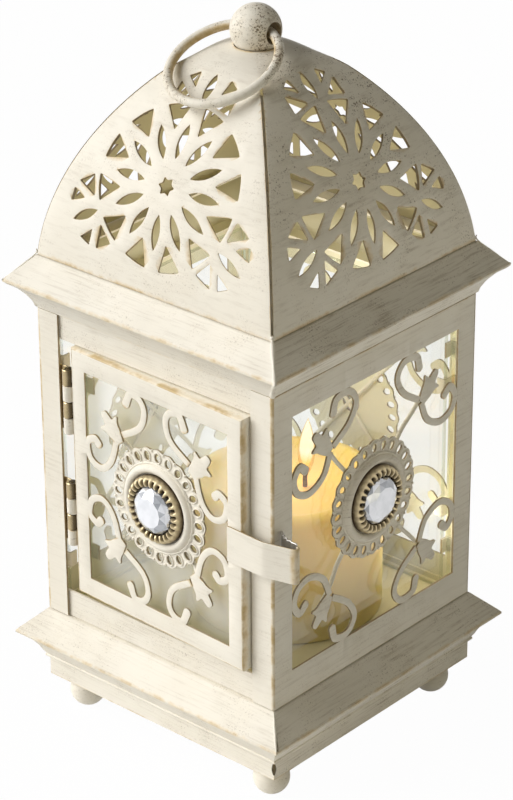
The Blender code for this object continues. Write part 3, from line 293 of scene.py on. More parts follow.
# Lamps: the directions that the two soft ones shine from, and the small ones inside
KEY_FROM = (-0.62, -0.62, 0.48)
KEY_SPREAD = 52
FILL_FROM = (0.97, -0.12, 0.04)
FILL_SPREAD = 60
INNER_LAMP_ABOVE_WICK = 0.052
FLOOR_LAMP_RISE = 0.030
FLOOR_LAMPS = {"left_floor_light": (-0.037, 0.037, 0.12), "right_floor_light": (0.042, 0.042, 0.22)}
FLOOR_WHITENESS = 0.98

# How fine the pieces are, and how near to an edge its rubbed paint ends
RIM = 0.00032
EDGE_ROUND = 0.00012
CORNER_RUN = 0.0006
CORNER_WEAR = 0.8
PANEL_STEP = 0.004
FINE = 72


class Wire:
    """A shader output that takes part in sums written as Python expressions."""

    def __init__(self, nodes, socket):
        self.nodes = nodes
        self.socket = socket

    def maths(self, operation, *values):
        return self.nodes.add("ShaderNodeMath", {"operation": operation}, dict(enumerate(values)))

    def __add__(self, other):
        return self.maths("ADD", self, other)

    def __radd__(self, other):
        return self.maths("ADD", other, self)

    def __sub__(self, other):
        return self.maths("SUBTRACT", self, other)

    def __rsub__(self, other):
        return self.maths("SUBTRACT", other, self)

    def __mul__(self, other):
        return self.maths("MULTIPLY", self, other)

    def __rmul__(self, other):
        return self.maths("MULTIPLY", other, self)

    def __truediv__(self, other):
        return self.maths("DIVIDE", self, other)

    def __pow__(self, other):
        return self.maths("POWER", self, other)

    def limited(self):
        """The value held between 0 and 1."""
        return self.nodes.add("ShaderNodeClamp", {}, {0: self})

    def between(self, low, high):
        """0 below low, 1 above high, and a straight way between them."""
        return ((self - low) / (high - low)).limited()


class Nodes:
    """A node tree that nodes are added to one by one."""

    def __init__(self, tree):
        self.tree = tree

    def add(self, kind, settings, inputs, output=0):
        """A node of a kind, with its settings made first and then its sockets' values or links."""
        node = self.tree.nodes.new(kind)
        for name, value in settings.items():
            if name == "stops":
                while len(node.color_ramp.elements) < len(value):
                    node.color_ramp.elements.new(0.5)
                for element, (place, colour) in zip(node.color_ramp.elements, value):
                    element.position = place
                    element.color = (*colour, 1.0)
            else:
                setattr(node, name, value)
        for key, value in inputs.items():
            self.feed(node.inputs[key], value)
        return Wire(self, node.outputs[output]) if node.outputs else node

    def feed(self, socket, value):
        """Links a wire to a socket, or sets the socket's own value."""
        if isinstance(value, Wire):
            self.tree.links.new(value.socket, socket)
        elif socket.type == "RGBA" and len(value) == 3:
            socket.default_value = (*value, 1.0)
        else:
            socket.default_value = value

    def blend(self, factor, first, second):
        """One shader over another."""
        return self.add("ShaderNodeMixShader", {}, {0: factor, 1: first, 2: second})

    def seen(self):
        """1 for what the camera, a mirror or a pane looks at, and 0 for light on its way."""
        camera, mirror, glass = (
            self.add("ShaderNodeLightPath", {}, {}, f"Is {kind} Ray")
            for kind in ("Camera", "Glossy", "Transmission")
        )
        return (camera + mirror + glass).limited()


class Surface(Nodes):
    """The nodes of one finish."""

    def __init__(self, name):
        self.material = bpy.data.materials.new(name)
        self.material.use_nodes = True
        super().__init__(self.material.node_tree)
        self.shader = self.tree.nodes["Principled BSDF"]
        self.output = self.tree.nodes["Material Output"]

    def cover(self, factor, below):
        """Lays this finish's shader over another one."""
        laid = self.blend(factor, below, Wire(self, self.shader.outputs[0]))
        self.feed(self.output.inputs["Surface"], laid)

    def set(self, **values):
        """Sets or links the shader's sockets; spaces in their names are written as underscores."""
        for name, value in values.items():
            self.feed(self.shader.inputs[name.replace("_", " ")], value)

    def place(self):
        """A point of the piece in the frame of the solids."""
        return self.add("ShaderNodeTexCoord", {}, {}, "Object")

    def stretched(self, scale):
        """The point with each of its axes scaled."""
        return self.add("ShaderNodeVectorMath", {"operation": "MULTIPLY"}, {0: self.place(), 1: scale})

    def noise(self, scale, detail=2.0, roughness=0.5, vector=None):
        """Soft noise from 0 to 1; the scale is in cells a metre."""
        vector = vector or self.place()
        values = {"Vector": vector, "Scale": scale, "Detail": detail, "Roughness": roughness}
        return self.add("ShaderNodeTexNoise", {}, values)

    def axis(self, number):
        """The place's distance along X, Y or Z."""
        return self.add("ShaderNodeSeparateXYZ", {}, {0: self.place()}, number)

    def right_side(self):
        """1 in the quarter to the +X side and 0 elsewhere."""
        across = self.axis(1)
        return (self.axis(0) - across.maths("ABSOLUTE", across)).between(-0.001, 0.001)

    def read(self, name):
        """A number that the mesh carries."""
        return self.add("ShaderNodeAttribute", {"attribute_name": name}, {}, "Fac")

    def mix(self, factor, first, second):
        """One colour over another."""
        return self.add("ShaderNodeMix", {"data_type": "RGBA"}, {0: factor, 6: first, 7: second}, 2)

    def bump(self, height, strength, distance):
        """A normal from heights."""
        values = {"Height": height, "Strength": strength, "Distance": distance}
        return self.add("ShaderNodeBump", {}, values)


class PaintSettings(bpy.types.PropertyGroup):
    """The cream paint and what shows where it is rubbed."""

    cream: FloatVectorProperty(
        name="Cream", description="Colour of the paint", default=(0.85, 0.81, 0.72), subtype="COLOR",
        min=0, max=1,
    )
    shade: FloatVectorProperty(
        name="Grime", description="Colour of the brush streaks", default=(0.36, 0.29, 0.20), subtype="COLOR",
        min=0, max=1,
    )
    rub: FloatVectorProperty(
        name="Rub", description="Colour that shows at rubbed edges", default=(0.66, 0.47, 0.19),
        subtype="COLOR", min=0, max=1,
    )
    cut: FloatVectorProperty(
        name="Cut", description="Colour of the sheet's cut edges", default=(0.22, 0.15, 0.06),
        subtype="COLOR", min=0, max=1,
    )
    lining: FloatVectorProperty(
        name="Lining", description="Colour of the paint inside the body", default=(0.81, 0.78, 0.62),
        subtype="COLOR", min=0, max=1,
    )
    # Painted shade: a dark olive that stands in for the shade inside the dome, laid on its inner faces
    dome_inside_shade: FloatVectorProperty(
        name="Dome lining", description="Colour of the paint inside the dome", default=(0.50, 0.45, 0.27),
        subtype="COLOR", min=0, max=1,
    )
    roughness: FloatProperty(name="Roughness", description="How dull the paint is", default=0.5, min=0, max=1)


class MetalSettings(bpy.types.PropertyGroup):
    """The bare and plated metals."""

    gilt: FloatVectorProperty(
        name="Gilt", description="High points of the crystal's setting", default=(0.66, 0.55, 0.34),
        subtype="COLOR", min=0, max=1,
    )
    gilt_shade: FloatVectorProperty(
        name="Gilt shade", description="Hollows of the crystal's setting", default=(0.06, 0.035, 0.015),
        subtype="COLOR", min=0, max=1,
    )
    bronze: FloatVectorProperty(
        name="Bronze", description="Plated hinge leaves", default=(0.60, 0.48, 0.28), subtype="COLOR",
        min=0, max=1,
    )
    steel: FloatVectorProperty(
        name="Steel", description="Screw, washer and the latch's bare tail", default=(0.55, 0.53, 0.50),
        subtype="COLOR", min=0, max=1,
    )


class GlassSettings(bpy.types.PropertyGroup):
    """The panes and the crystals."""

    tint: FloatVectorProperty(
        name="Tint", description="What a pane's face lets through", default=(0.976, 0.978, 0.966),
        subtype="COLOR", min=0, max=1,
    )
    edge: FloatVectorProperty(
        name="Edge", description="Colour at the panes' edges", default=(0.62, 0.72, 0.58), subtype="COLOR",
        min=0, max=1,
    )
    # Painted reflections: each facet of a crystal gets a lightness between these two colours
    bright: FloatVectorProperty(
        name="Bright facet", description="Lightest facets of a crystal", default=(0.92, 0.94, 1.0),
        subtype="COLOR", min=0, max=1,
    )
    dark: FloatVectorProperty(
        name="Dark facet", description="Darkest facets of a crystal", default=(0.22, 0.24, 0.27),
        subtype="COLOR", min=0, max=1,
    )


class CandleSettings(bpy.types.PropertyGroup):
    """The wax, the wick and the flame."""

    wax: FloatVectorProperty(
        name="Wax", description="Colour of the candle", default=(0.88, 0.68, 0.19), subtype="COLOR",
        min=0, max=1,
    )
    glow: FloatVectorProperty(
        name="Glow", description="Light that the wax lets through near the flame", default=(1.0, 0.51, 0.17),
        subtype="COLOR", min=0, max=1,
    )
    flame_height: FloatProperty(
        name="Flame height", description="From the foot to the tip of the flame", default=0.0240, min=0.005,
        max=0.03, unit="LENGTH",
    )
    flame_width: FloatProperty(
        name="Flame width", description="Across the widest part of the flame", default=0.0068, min=0.002,
        max=0.01, unit="LENGTH",
    )


class StudioSettings(bpy.types.PropertyGroup):
    """The lamps and the background."""

    key: FloatProperty(name="Key", description="Light from the left and front", default=3.5, min=0, max=10)
    fill: FloatProperty(name="Fill", description="Light from the right side", default=0.57, min=0, max=10)
    sky: FloatProperty(name="Sky", description="Light from all round", default=0.052, min=0, max=2)
    candle: FloatProperty(
        name="Candle light", description="Power of the lamp above the flame",
        default=0.082, min=0, max=1, unit="POWER",
    )


def settings(group):
    """The group of settings that a piece or finish reads."""
    return getattr(bpy.context.scene, "lantern_" + group)


def blank():
    """An empty mesh with the numbers that the finishes read: rubbed points, cut faces, inner faces."""
    work = bmesh.new()
    work.verts.layers.float.new("wear")
    work.faces.layers.float.new("cut")
    work.faces.layers.float.new("inner")
    return work


def added(name, data):
    """An object in the scene with a mesh, a lamp or a camera."""
    made = bpy.data.objects.new(name, data)
    bpy.context.scene.collection.objects.link(made)
    return made


def smooth(mesh, degrees):
    """Smooth shading, with the edges that are sharper than an angle kept."""
    mesh.shade_smooth()
    mesh.set_sharp_from_angle(angle=math.radians(degrees))


def piece(name, work, finish, body, replaces=(), sharp=35, outward=True):
    """Makes a shown piece of a finished mesh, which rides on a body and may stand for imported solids."""
    if outward:
        bmesh.ops.recalc_face_normals(work, faces=work.faces)
    mesh = bpy.data.meshes.new(name)
    work.to_mesh(mesh)
    work.free()
    if sharp:
        smooth(mesh, sharp)
    made = added(name, mesh)
    mesh.materials.append(finished(finish))
    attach(made, body)
    if replaces:
        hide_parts(*replaces)
    return made


def held(value):
    """The value held between 0 and 1."""
    return min(1.0, max(0.0, value))


def eased(value):
    """A held value that starts and ends softly."""
    value = held(value)
    return value * value * (3 - 2 * value)


def offset_path(path, distance):
    """The path moved to its right-hand side by a distance, with mitred corners."""
    moved = []
    for i, (x, y) in enumerate(path):
        normals = []
        for a, b in ((i - 1, i), (i, i + 1)):
            if a < 0 or b >= len(path):
                continue
            along = Vector((path[b][0] - path[a][0], path[b][1] - path[a][1])).normalized()
            normals.append(Vector((along.y, -along.x)))
        bisector = sum(normals, Vector((0, 0))).normalized()
        reach = distance / bisector.dot(normals[0])
        moved.append((x + bisector.x * reach, y + bisector.y * reach))
    return moved


def smooth_points(points, steps):
    """Points of a smooth curve through the given ones, with this many steps between each two."""
    first = Vector(points[0]) * 2 - Vector(points[1])
    last = Vector(points[-1]) * 2 - Vector(points[-2])
    guide = [first] + [Vector(p) for p in points] + [last]
    made = []
    for i in range(1, len(guide) - 2):
        before, a, b, after = guide[i - 1:i + 3]
        for k in range(steps):
            t = k / steps
            made.append(0.5 * (
                2 * a + (b - before) * t + (2 * before - 5 * a + 4 * b - after) * t * t
                + (3 * a - before - 3 * b + after) * t ** 3
            ))
    made.append(guide[-2])
    return made


def arc(centre, radius, start, end, steps):
    """Points on an arc between two angles in degrees."""
    turns = [math.radians(start + (end - start) * i / steps) for i in range(steps + 1)]
    return [(centre[0] + radius * math.cos(t), centre[1] + radius * math.sin(t)) for t in turns]


def rounded(corners, radius, steps=3):
    """A closed outline whose corners are rounded by short curves."""
    made = []
    count = len(corners)
    for i in range(count):
        before, here, after = (Vector(corners[(i + k) % count]) for k in (-1, 0, 1))
        reach = min(radius, (before - here).length * 0.4, (after - here).length * 0.4)
        start = here + (before - here).normalized() * reach
        end = here + (after - here).normalized() * reach
        for k in range(steps + 1):
            t = k / steps
            made.append(tuple(start * (1 - t) ** 2 + here * 2 * t * (1 - t) + end * t * t))
    return made


def widened(outline, distance):
    """A closed outline moved outwards by a distance, if it runs anticlockwise."""
    count = len(outline)
    made = []
    for i in range(count):
        before, here, after = (Vector(outline[(i + k) % count]) for k in (-1, 0, 1))
        first, second = (here - before).normalized(), (after - here).normalized()
        side = Vector((first.y + second.y, -first.x - second.x))
        if side.length > 0.2:
            made.append(tuple(here + side.normalized() * distance))
    return made


def anticlockwise(outline):
    """The outline, turned round where it runs clockwise."""
    area = sum(a[0] * b[1] - b[0] * a[1] for a, b in zip(outline, outline[1:] + outline[:1]))
    return list(outline) if area > 0 else list(outline)[::-1]


def rectangle(low, high):
    """The four corners of a rectangle, anticlockwise."""
    return [(low[0], low[1]), (high[0], low[1]), (high[0], high[1]), (low[0], high[1])]


def split(outline, step):
    """The outline with more points along its long sides."""
    made = []
    for a, b in zip(outline, outline[1:] + outline[:1]):
        a, b = Vector(a), Vector(b)
        parts = max(1, round((b - a).length / step))
        made += [tuple(a.lerp(b, k / parts)) for k in range(parts)]
    return made


class Outline:
    """A closed outline that can tell whether a point is inside it."""

    def __init__(self, points):
        self.points = points
        self.low = [min(p[i] for p in points) for i in (0, 1)]
        self.high = [max(p[i] for p in points) for i in (0, 1)]

    def holds(self, x, y):
        """Whether a line to the right of the point crosses the outline an odd number of times."""
        if not (self.low[0] < x < self.high[0] and self.low[1] < y < self.high[1]):
            return False
        found = False
        for (ax, ay), (bx, by) in zip(self.points, self.points[1:] + self.points[:1]):
            if (ay > y) != (by > y) and x < (bx - ax) * (y - ay) / (by - ay) + ax:
                found = not found
        return found


def filled(shapes, loose):
    """Points, triangles and bounding edges of (outline, holes) shapes joined into one flat region."""
    points, edges = [], []
    for outline, holes in shapes:
        for run in [outline, *holes]:
            first = len(points)
            points += [Vector(p) for p in run]
            edges += [(first + i, first + (i + 1) % len(run)) for i in range(len(run))]
    points += [Vector(p) for p in loose]
    found = delaunay_2d_cdt(points, edges, [], 0, 0.000001)
    tests = [(Outline(outline), [Outline(h) for h in holes]) for outline, holes in shapes]
    kept = []
    for face in found[2]:
        x = sum(found[0][i].x for i in face) / 3
        y = sum(found[0][i].y for i in face) / 3
        if any(a.holds(x, y) and not any(h.holds(x, y) for h in holes) for a, holes in tests):
            kept.append(face)
    sides = {}
    for face in kept:
        for a, b in zip(face, face[1:] + face[:1]):
            sides[(a, b)] = True
    rim = [(a, b) for a, b in sides if (b, a) not in sides]
    return found[0], kept, rim


def sheet(work, region, thickness, place, joined=None):
    """A sheet from a flat region, with softened cut edges.

    place(x, y, depth) puts each of its points, and an edge between joined points has no wall.
    """
    points, faces, rim = region
    wear = work.verts.layers.float["wear"]
    cut = work.faces.layers.float["cut"]
    inner = work.faces.layers.float["inner"]
    used = sorted({i for face in faces for i in face})
    edge = {i for pair in rim for i in pair}
    walls = [(a, b) for a, b in rim if not (joined and joined(points[a]) and joined(points[b]))]
    worn = {i for pair in walls for i in pair}
    top, bottom = {}, {}
    for i in used:
        x, y = points[i]
        top[i] = work.verts.new(place(x, y, EDGE_ROUND if i in edge else 0.0))
        top[i][wear] = 1.0 if i in worn else 0.0
        bottom[i] = work.verts.new(place(x, y, thickness))
    for a, b, c in faces:
        work.faces.new((top[a], top[b], top[c]))
        work.faces.new((bottom[c], bottom[b], bottom[a]))[inner] = 1.0
    for a, b in walls:
        work.faces.new((top[b], top[a], bottom[a], bottom[b]))[cut] = 1.0


def sweep_round(work, half_x, half_y, section, place=None):
    """Carries a closed section of (out, up, wear) points round a rectangle with mitred corners.

    A point with wear None is on the inner side.
    """
    wear = work.verts.layers.float["wear"]
    inner = work.faces.layers.float["inner"]
    place = place or Matrix()
    sides = ((1, 0), (0, 1), (-1, 0), (0, -1))
    corners = ((1, -1), (1, 1), (-1, 1), (-1, -1))
    stations = []
    for k, (cx, cy) in enumerate(corners):
        incoming, outgoing = sides[k], sides[(k + 1) % 4]
        stations += [(cx, cy, -incoming[0], -incoming[1]), (cx, cy, 0, 0), (cx, cy, *outgoing)]
    rings = []
    for cx, cy, dx, dy in stations:
        ring = []
        for out, up, rub in section:
            spot = Vector((
                cx * (half_x + out) + dx * CORNER_RUN, cy * (half_y + out) + dy * CORNER_RUN, up,
            ))
            vertex = work.verts.new(place @ spot)
            if rub is not None:
                vertex[wear] = rub if dx or dy else max(rub, CORNER_WEAR)
            ring.append(vertex)
        rings.append(ring)
    count = len(section)
    for k, ring in enumerate(rings):
        following = rings[(k + 1) % len(rings)]
        for i in range(count):
            j = (i + 1) % count
            face = work.faces.new((ring[i], following[i], following[j], ring[j]))
            if section[i][2] is None and section[j][2] is None:
                face[inner] = 1.0


def turned(work, profile, steps, place=None, shape=None, closed=False):
    """Turns (radius, height, wear) points about Z. shape(radius, height, turn) may move a point."""
    wear = work.verts.layers.float["wear"]
    place = place or Matrix()
    rings = []
    for radius, height, rub in profile:
        ring = []
        for k in range(steps if radius > 0 else 1):
            turn = 2 * math.pi * k / steps
            r, z = shape(radius, height, turn) if shape else (radius, height)
            vertex = work.verts.new(place @ Vector((r * math.cos(turn), r * math.sin(turn), z)))
            vertex[wear] = rub
            ring.append(vertex)
        rings.append(ring)
    pairs = list(zip(rings, rings[1:]))
    if closed:
        pairs.append((rings[-1], rings[0]))
    for upper, lower in pairs:
        for k in range(steps):
            following = (k + 1) % steps
            around = []
            for vertex in (
                upper[k % len(upper)], lower[k % len(lower)],
                lower[following % len(lower)], upper[following % len(upper)],
            ):
                if vertex not in around:
                    around.append(vertex)
            if len(around) > 2:
                work.faces.new(around)


def tube(work, points, radius, sides=12, closed=False, rub=0.0):
    """A round wire through the points; radius may be one number or one for each point."""
    wear = work.verts.layers.float["wear"]
    points = [Vector(p) for p in points]
    count = len(points)
    radii = radius if isinstance(radius, (list, tuple)) else [radius] * count
    rings = []
    side = None
    for i, spot in enumerate(points):
        after = points[(i + 1) % count] if closed or i + 1 < count else spot
        before = points[i - 1] if closed or i else spot
        along = (after - before).normalized()
        if side is None:
            side = along.orthogonal().normalized()
        side = (side - along * side.dot(along)).normalized()
        up = along.cross(side)
        ring = []
        for k in range(sides):
            turn = 2 * math.pi * k / sides
            vertex = work.verts.new(spot + (side * math.cos(turn) + up * math.sin(turn)) * radii[i])
            vertex[wear] = rub
            ring.append(vertex)
        rings.append(ring)
    pairs = list(zip(rings, rings[1:]))
    if closed:
        pairs.append((rings[-1], rings[0]))
    for a, b in pairs:
        for k in range(sides):
            j = (k + 1) % sides
            work.faces.new((a[k], a[j], b[j], b[k]))
    if not closed:
        for ring in (rings[0], rings[-1]):
            work.faces.new(ring)


def strip(work, path, thickness, low, high, place=None, edge_wear=1.0):
    """A bent strip of sheet: a path of (x, y, wear) points seen from above, between two heights."""
    wear = work.verts.layers.float["wear"]
    cut = work.faces.layers.float["cut"]
    place = place or Matrix()
    line = [(x, y) for x, y, rub in path]
    soft = thickness * 0.2
    levels = ((low, 0.6, edge_wear), (low + soft, 1.0, 0.0), (high - soft, 1.0, 0.0), (high, 0.6, edge_wear))
    rows = []
    for z, share, rub_here in levels:
        row = []
        for sign in (1, -1):
            side = offset_path(line, sign * thickness / 2 * share)
            verts = []
            for (x, y), (_, _, rub) in zip(side, path):
                vertex = work.verts.new(place @ Vector((x, y, z)))
                vertex[wear] = max(rub, rub_here)
                verts.append(vertex)
            row.append(verts)
        rows.append(row)
    last = len(path) - 1
    for lower, upper in zip(rows, rows[1:]):
        for side, flip in ((0, False), (1, True)):
            for i in range(last):
                around = [lower[side][i], lower[side][i + 1], upper[side][i + 1], upper[side][i]]
                work.faces.new(around[::-1] if flip else around)
        for i in (0, last):
            face = work.faces.new((lower[0][i], lower[1][i], upper[1][i], upper[0][i]))
            face[cut] = 1.0
    for left, right in (rows[0], rows[-1]):
        for i in range(last):
            face = work.faces.new((left[i], left[i + 1], right[i + 1], right[i]))
            face[cut] = 0.8


def facing(angle, reach, height):
    """The matrix of a panel that faces an angle about Z; its own X, Y, Z are across, up and outwards."""
    upright = Matrix(((0, 0, 1, 0), (1, 0, 0, 0), (0, 1, 0, 0), (0, 0, 0, 1)))
    return Matrix.Rotation(angle, 4, "Z") @ Matrix.Translation((reach, 0, height)) @ upright


def beside(sign, height=0.0):
    """The matrix that stands a strip at one side of a panel: its X, Y, Z run aside, outwards and up."""
    return Matrix(((sign, 0, 0, 0), (0, 0, 1, height), (0, 1, 0, 0), (0, 0, 0, 1)))


HINGE_AXIS = Matrix.Translation((-HINGE_FROM_MIDDLE, -BODY_HALF, 0))
DOOR_AXIS = HINGE_AXIS @ Matrix.Rotation(-DOOR_AJAR, 4, "Z")
DOOR_PANEL = (
    DOOR_AXIS
    @ Matrix.Translation((DOOR_HINGE_EDGE + DOOR_WIDTH / 2, 0, BODY_BOTTOM + DOOR_BOTTOM))
    @ Matrix.Rotation(math.radians(-90), 4, "Z")
    @ facing(0, DOOR_PROUD, 0)
)


def mix_colour(first, second, share):
    """A colour part of the way from one to another."""
    return tuple(a + (b - a) * share for a, b in zip(first, second))


def paint(name, grain, streaks, specks, stains=0.1):
    """Chalky cream paint, brushed along its grain, with grime, specks, stains and rubbed edges.

    Streaks are up to twice as strong in the +X quarter, and specks are stronger there, most of all towards the
    dome's top. Streaks, specks and stains are shares.
    """
    values = settings("paint")
    cream, grime = tuple(values.cream), tuple(values.shade)
    made = Surface(name)
    cloud = made.noise(26.0, 3.0).between(0.35, 0.7)
    patch = made.noise(75.0, 4.0, 0.6).between(0.42, 0.75)
    brushed = made.noise(1.0, 4.0, 0.65, made.stretched(grain))
    right = made.right_side()
    streak = brushed.between(0.50, 0.70) * (0.3 + 0.7 * patch) * streaks * (1.0 + right)
    fine = made.noise(1600.0, 3.0, 0.6)
    clump = made.noise(70.0, 4.0, 0.65)
    stain = clump.between(0.50, 0.66) * stains
    scratched = made.noise(1.0, 4.0, 0.7, made.stretched(tuple(1.9 * scale for scale in grain)))
    speck = (fine * 0.6 + scratched * 0.4 + stain * 0.07).between(0.55, 0.66)
    upper = made.axis(2).between(EAVE_TOP + 0.010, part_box("dome_shell")[1].z - 0.012)
    speck = speck * clump.between(0.44, 0.60) * specks * (0.8 + right * (0.5 + 1.8 * upper))
    wear = made.read("wear") * (0.55 + 0.45 * made.noise(95.0, 3.0, 0.6).between(0.42, 0.58))
    broken = made.noise(420.0, 3.0, 0.65)
    rubbed = (wear * 1.25 + broken * 0.9 - 0.85).limited() * 0.85
    colour = made.mix(cloud * 0.35, cream, mix_colour(cream, (0.78, 0.70, 0.55), 0.6))
    colour = made.mix(patch * 0.18, colour, mix_colour(cream, (0.62, 0.58, 0.50), 0.6))
    colour = made.mix(stain, colour, mix_colour(cream, (0.50, 0.38, 0.20), 0.6))
    colour = made.mix(streak.limited(), colour, grime)
    colour = made.mix(speck.limited(), colour, mix_colour(grime, (0.10, 0.06, 0.02), 0.6))
    colour = made.mix(rubbed, colour, tuple(values.rub))
    bare = (wear * 1.6 + broken * 0.8 - 1.45).limited() * 0.75
    colour = made.mix(bare, colour, mix_colour(tuple(values.cut), tuple(values.rub), 0.3))
    # Inner faces above the body's top take the dome's dark olive, which is painted shade inside the dome
    above = made.axis(2).between(BODY_TOP, EAVE_TOP)
    lining = made.mix(above, tuple(values.lining), tuple(values.dome_inside_shade))
    colour = made.mix(made.read("inner") * 0.9, colour, lining)
    colour = made.mix(made.read("cut") * (0.65 + 0.35 * broken), colour, tuple(values.cut))
    height = brushed * 0.5 + fine * 0.35 + patch * 0.3
    made.set(
        Base_Color=colour,
        Roughness=(values.roughness + 0.18 * patch - 0.12 * rubbed).limited(),
        Normal=made.bump(height, 0.35, 0.00025),
        Specular_IOR_Level=0.35,
    )
    return made.material


def paint_across():
    """Paint brushed level."""
    return paint("cream_paint_across", (55.0, 55.0, 1500.0), 0.50, 0.7)


def paint_upright():
    """Paint brushed level in fainter, wider streaks."""
    return paint("cream_paint_upright", (60.0, 60.0, 900.0), 0.24, 0.3)


def paint_plain():
    """Paint with short, faint streaks."""
    return paint("cream_paint_plain", (90.0, 90.0, 700.0), 0.28, 0.55)


def paint_speckled():
    """Paint with many specks and stains, as on the ball and the ring."""
    return paint("cream_paint_speckled", (500.0, 500.0, 500.0), 0.5, 1.8, 0.55)


def paint_floor():
    """The floor's paint, a darker and yellower cream than elsewhere, in soft clouds."""
    made = Surface("cream_paint_floor")
    floor_clouds = made.noise(55.0, 4.0, 0.6).between(0.3, 0.7)
    made.set(
        Base_Color=made.mix(floor_clouds, (0.73, 0.68, 0.48), (0.60, 0.54, 0.35)),
        Roughness=0.45 + 0.2 * floor_clouds,
        Normal=made.bump(floor_clouds, 0.2, 0.0003),
        Specular_IOR_Level=0.35,
    )
    return made.material


def antique_gilt():
    """Dulled gilt: pale on its high points, near-black in its hollows and low parts, which is tarnish and
    painted shade together.
    """
    values = settings("metal")
    made = Surface("antique_gilt")
    mottled = made.noise(600.0, 3.0, 0.6)
    raised = (made.read("wear") * 1.2 + mottled * 0.5 - 0.3).limited()
    made.set(
        Base_Color=made.mix(raised, tuple(values.gilt_shade), tuple(values.gilt)),
        Metallic=0.35 + 0.25 * raised,
        Roughness=(0.55 - 0.2 * raised + 0.1 * mottled).limited(),
        Normal=made.bump(mottled, 0.3, 0.0002),
    )
    return made.material


def dark_bronze():
    """Bronze plating: bright bronze where the wear mark is high, near-black where it is low, and darker where
    tarnished. The mark paints a highlight and shade on the body's knuckles, and shadow on the dark tubes at the
    base's front corner.
    """
    bronze = tuple(settings("metal").bronze)
    made = Surface("dark_bronze")
    tarnish = made.noise(350.0, 4.0, 0.6).between(0.35, 0.7)
    highlight_share = (made.read("wear") - 0.25 * tarnish).limited()
    made.set(
        Base_Color=made.mix(highlight_share, mix_colour(bronze, (0.02, 0.012, 0.005), 0.88), bronze),
        Metallic=1.0,
        Roughness=0.22 + 0.2 * tarnish,
        Normal=made.bump(made.noise(900.0, 2.0), 0.2, 0.0002),
    )
    return made.material


def plated_steel():
    """Plain plated steel with faint turning marks."""
    steel = tuple(settings("metal").steel)
    made = Surface("plated_steel")
    marks = made.noise(1.0, 3.0, 0.6, made.stretched((500.0, 500.0, 4000.0)))
    made.set(
        Base_Color=made.mix(marks, steel, mix_colour(steel, (0.25, 0.24, 0.22), 0.5)),
        Metallic=1.0,
        Roughness=0.28 + 0.2 * marks,
    )
    return made.material


def pane_glass(name="pane_glass", film=0.055, blur=0.03):
    """A clear pane: what is behind it shows through, and it mirrors more the flatter it is seen.

    The film is how much of the room it mirrors when it is seen straight on, and the blur is how softly.
    """
    values = settings("glass")
    made = Surface(name)
    edge = made.read("cut")
    clear = made.add("ShaderNodeBsdfTransparent", {}, {"Color": tuple(values.tint)})
    made.set(Base_Color=made.mix(edge, (0.95, 0.96, 0.94), tuple(values.edge)), Metallic=1.0, Roughness=blur)
    flatness = made.add("ShaderNodeLayerWeight", {}, {"Blend": 0.5}, "Facing")
    made.cover((film + 0.85 * flatness ** 5.0 + edge * 0.35).limited(), clear)
    return made.material


def hazy_glass():
    """The door's pane, on which the bright room lies as a haze."""
    return pane_glass("hazy_glass", 0.24, 0.55)


def cut_glass():
    """A foiled crystal with painted reflections: each facet has its own lightness between a dark and a bright
    colour.
    """
    values = settings("glass")
    made = Surface("cut_glass")
    facet = made.read("facet")
    cloud = made.noise(260.0, 2.0).between(0.35, 0.65)
    shade = (facet + 0.18 * cloud - 0.09).limited()
    made.set(
        Base_Color=made.mix(shade, tuple(values.dark), tuple(values.bright)),
        Metallic=0.45,
        Roughness=0.06 + 0.06 * cloud,
        Coat_Weight=1.0,
        Coat_Roughness=0.02,
    )
    return made.material


def candle_wax():
    """Ivory wax with a painted glow round the flame's foot and painted shade on its lower part."""
    values = settings("candle")
    made = Surface("candle_wax")
    wax = tuple(values.wax)
    wick = (*WICK_AT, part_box("wick")[0].z)
    apart = made.add("ShaderNodeVectorMath", {"operation": "DISTANCE"}, {0: made.place(), 1: wick}, "Value")
    # Painted light: the wax glows more the nearer it is to the wick's foot
    glow = (1.0 - apart / GLOW_REACH).limited() ** 1.6
    mottled = made.noise(60.0, 3.0).between(0.3, 0.75)
    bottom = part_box("candle")[0].z
    # Painted shade: the lower part of the candle is darker
    shaded = 1.0 - made.axis(2).between(bottom, bottom + WAX_SHADE_HEIGHT)
    body = made.mix(mottled, wax, mix_colour(wax, (0.66, 0.50, 0.22), 0.45))
    made.set(
        Base_Color=made.mix(shaded * 0.5, body, (0.62, 0.52, 0.22)),
        Roughness=0.38 + 0.12 * mottled,
        Subsurface_Weight=0.35,
        Subsurface_Radius=(0.012, 0.006, 0.002),
        Subsurface_Scale=1.0,
        Emission_Color=made.mix(glow, (0.0, 0.0, 0.0), tuple(values.glow)),
        Emission_Strength=0.65,
        Normal=made.bump(mottled, 0.15, 0.0008),
    )
    return made.material


def burnt_wick():
    """Charred cotton with an ember at its tip, and a faint brown glow all along it that is painted light from
    the flame round it.
    """
    made = Surface("burnt_wick")
    weave = made.noise(2500.0, 3.0)
    ember = made.read("wear")
    made.set(
        Base_Color=made.mix(weave, (0.03, 0.02, 0.015), (0.12, 0.07, 0.04)),
        Roughness=0.9,
        # Painted light: the whole wick glows faintly brown, rising to the ember's orange at its tip
        Emission_Color=made.mix(ember, (0.09, 0.035, 0.01), (1.0, 0.30, 0.05)),
        Emission_Strength=1.2,
        Normal=made.bump(weave, 0.5, 0.0003),
    )
    return made.material


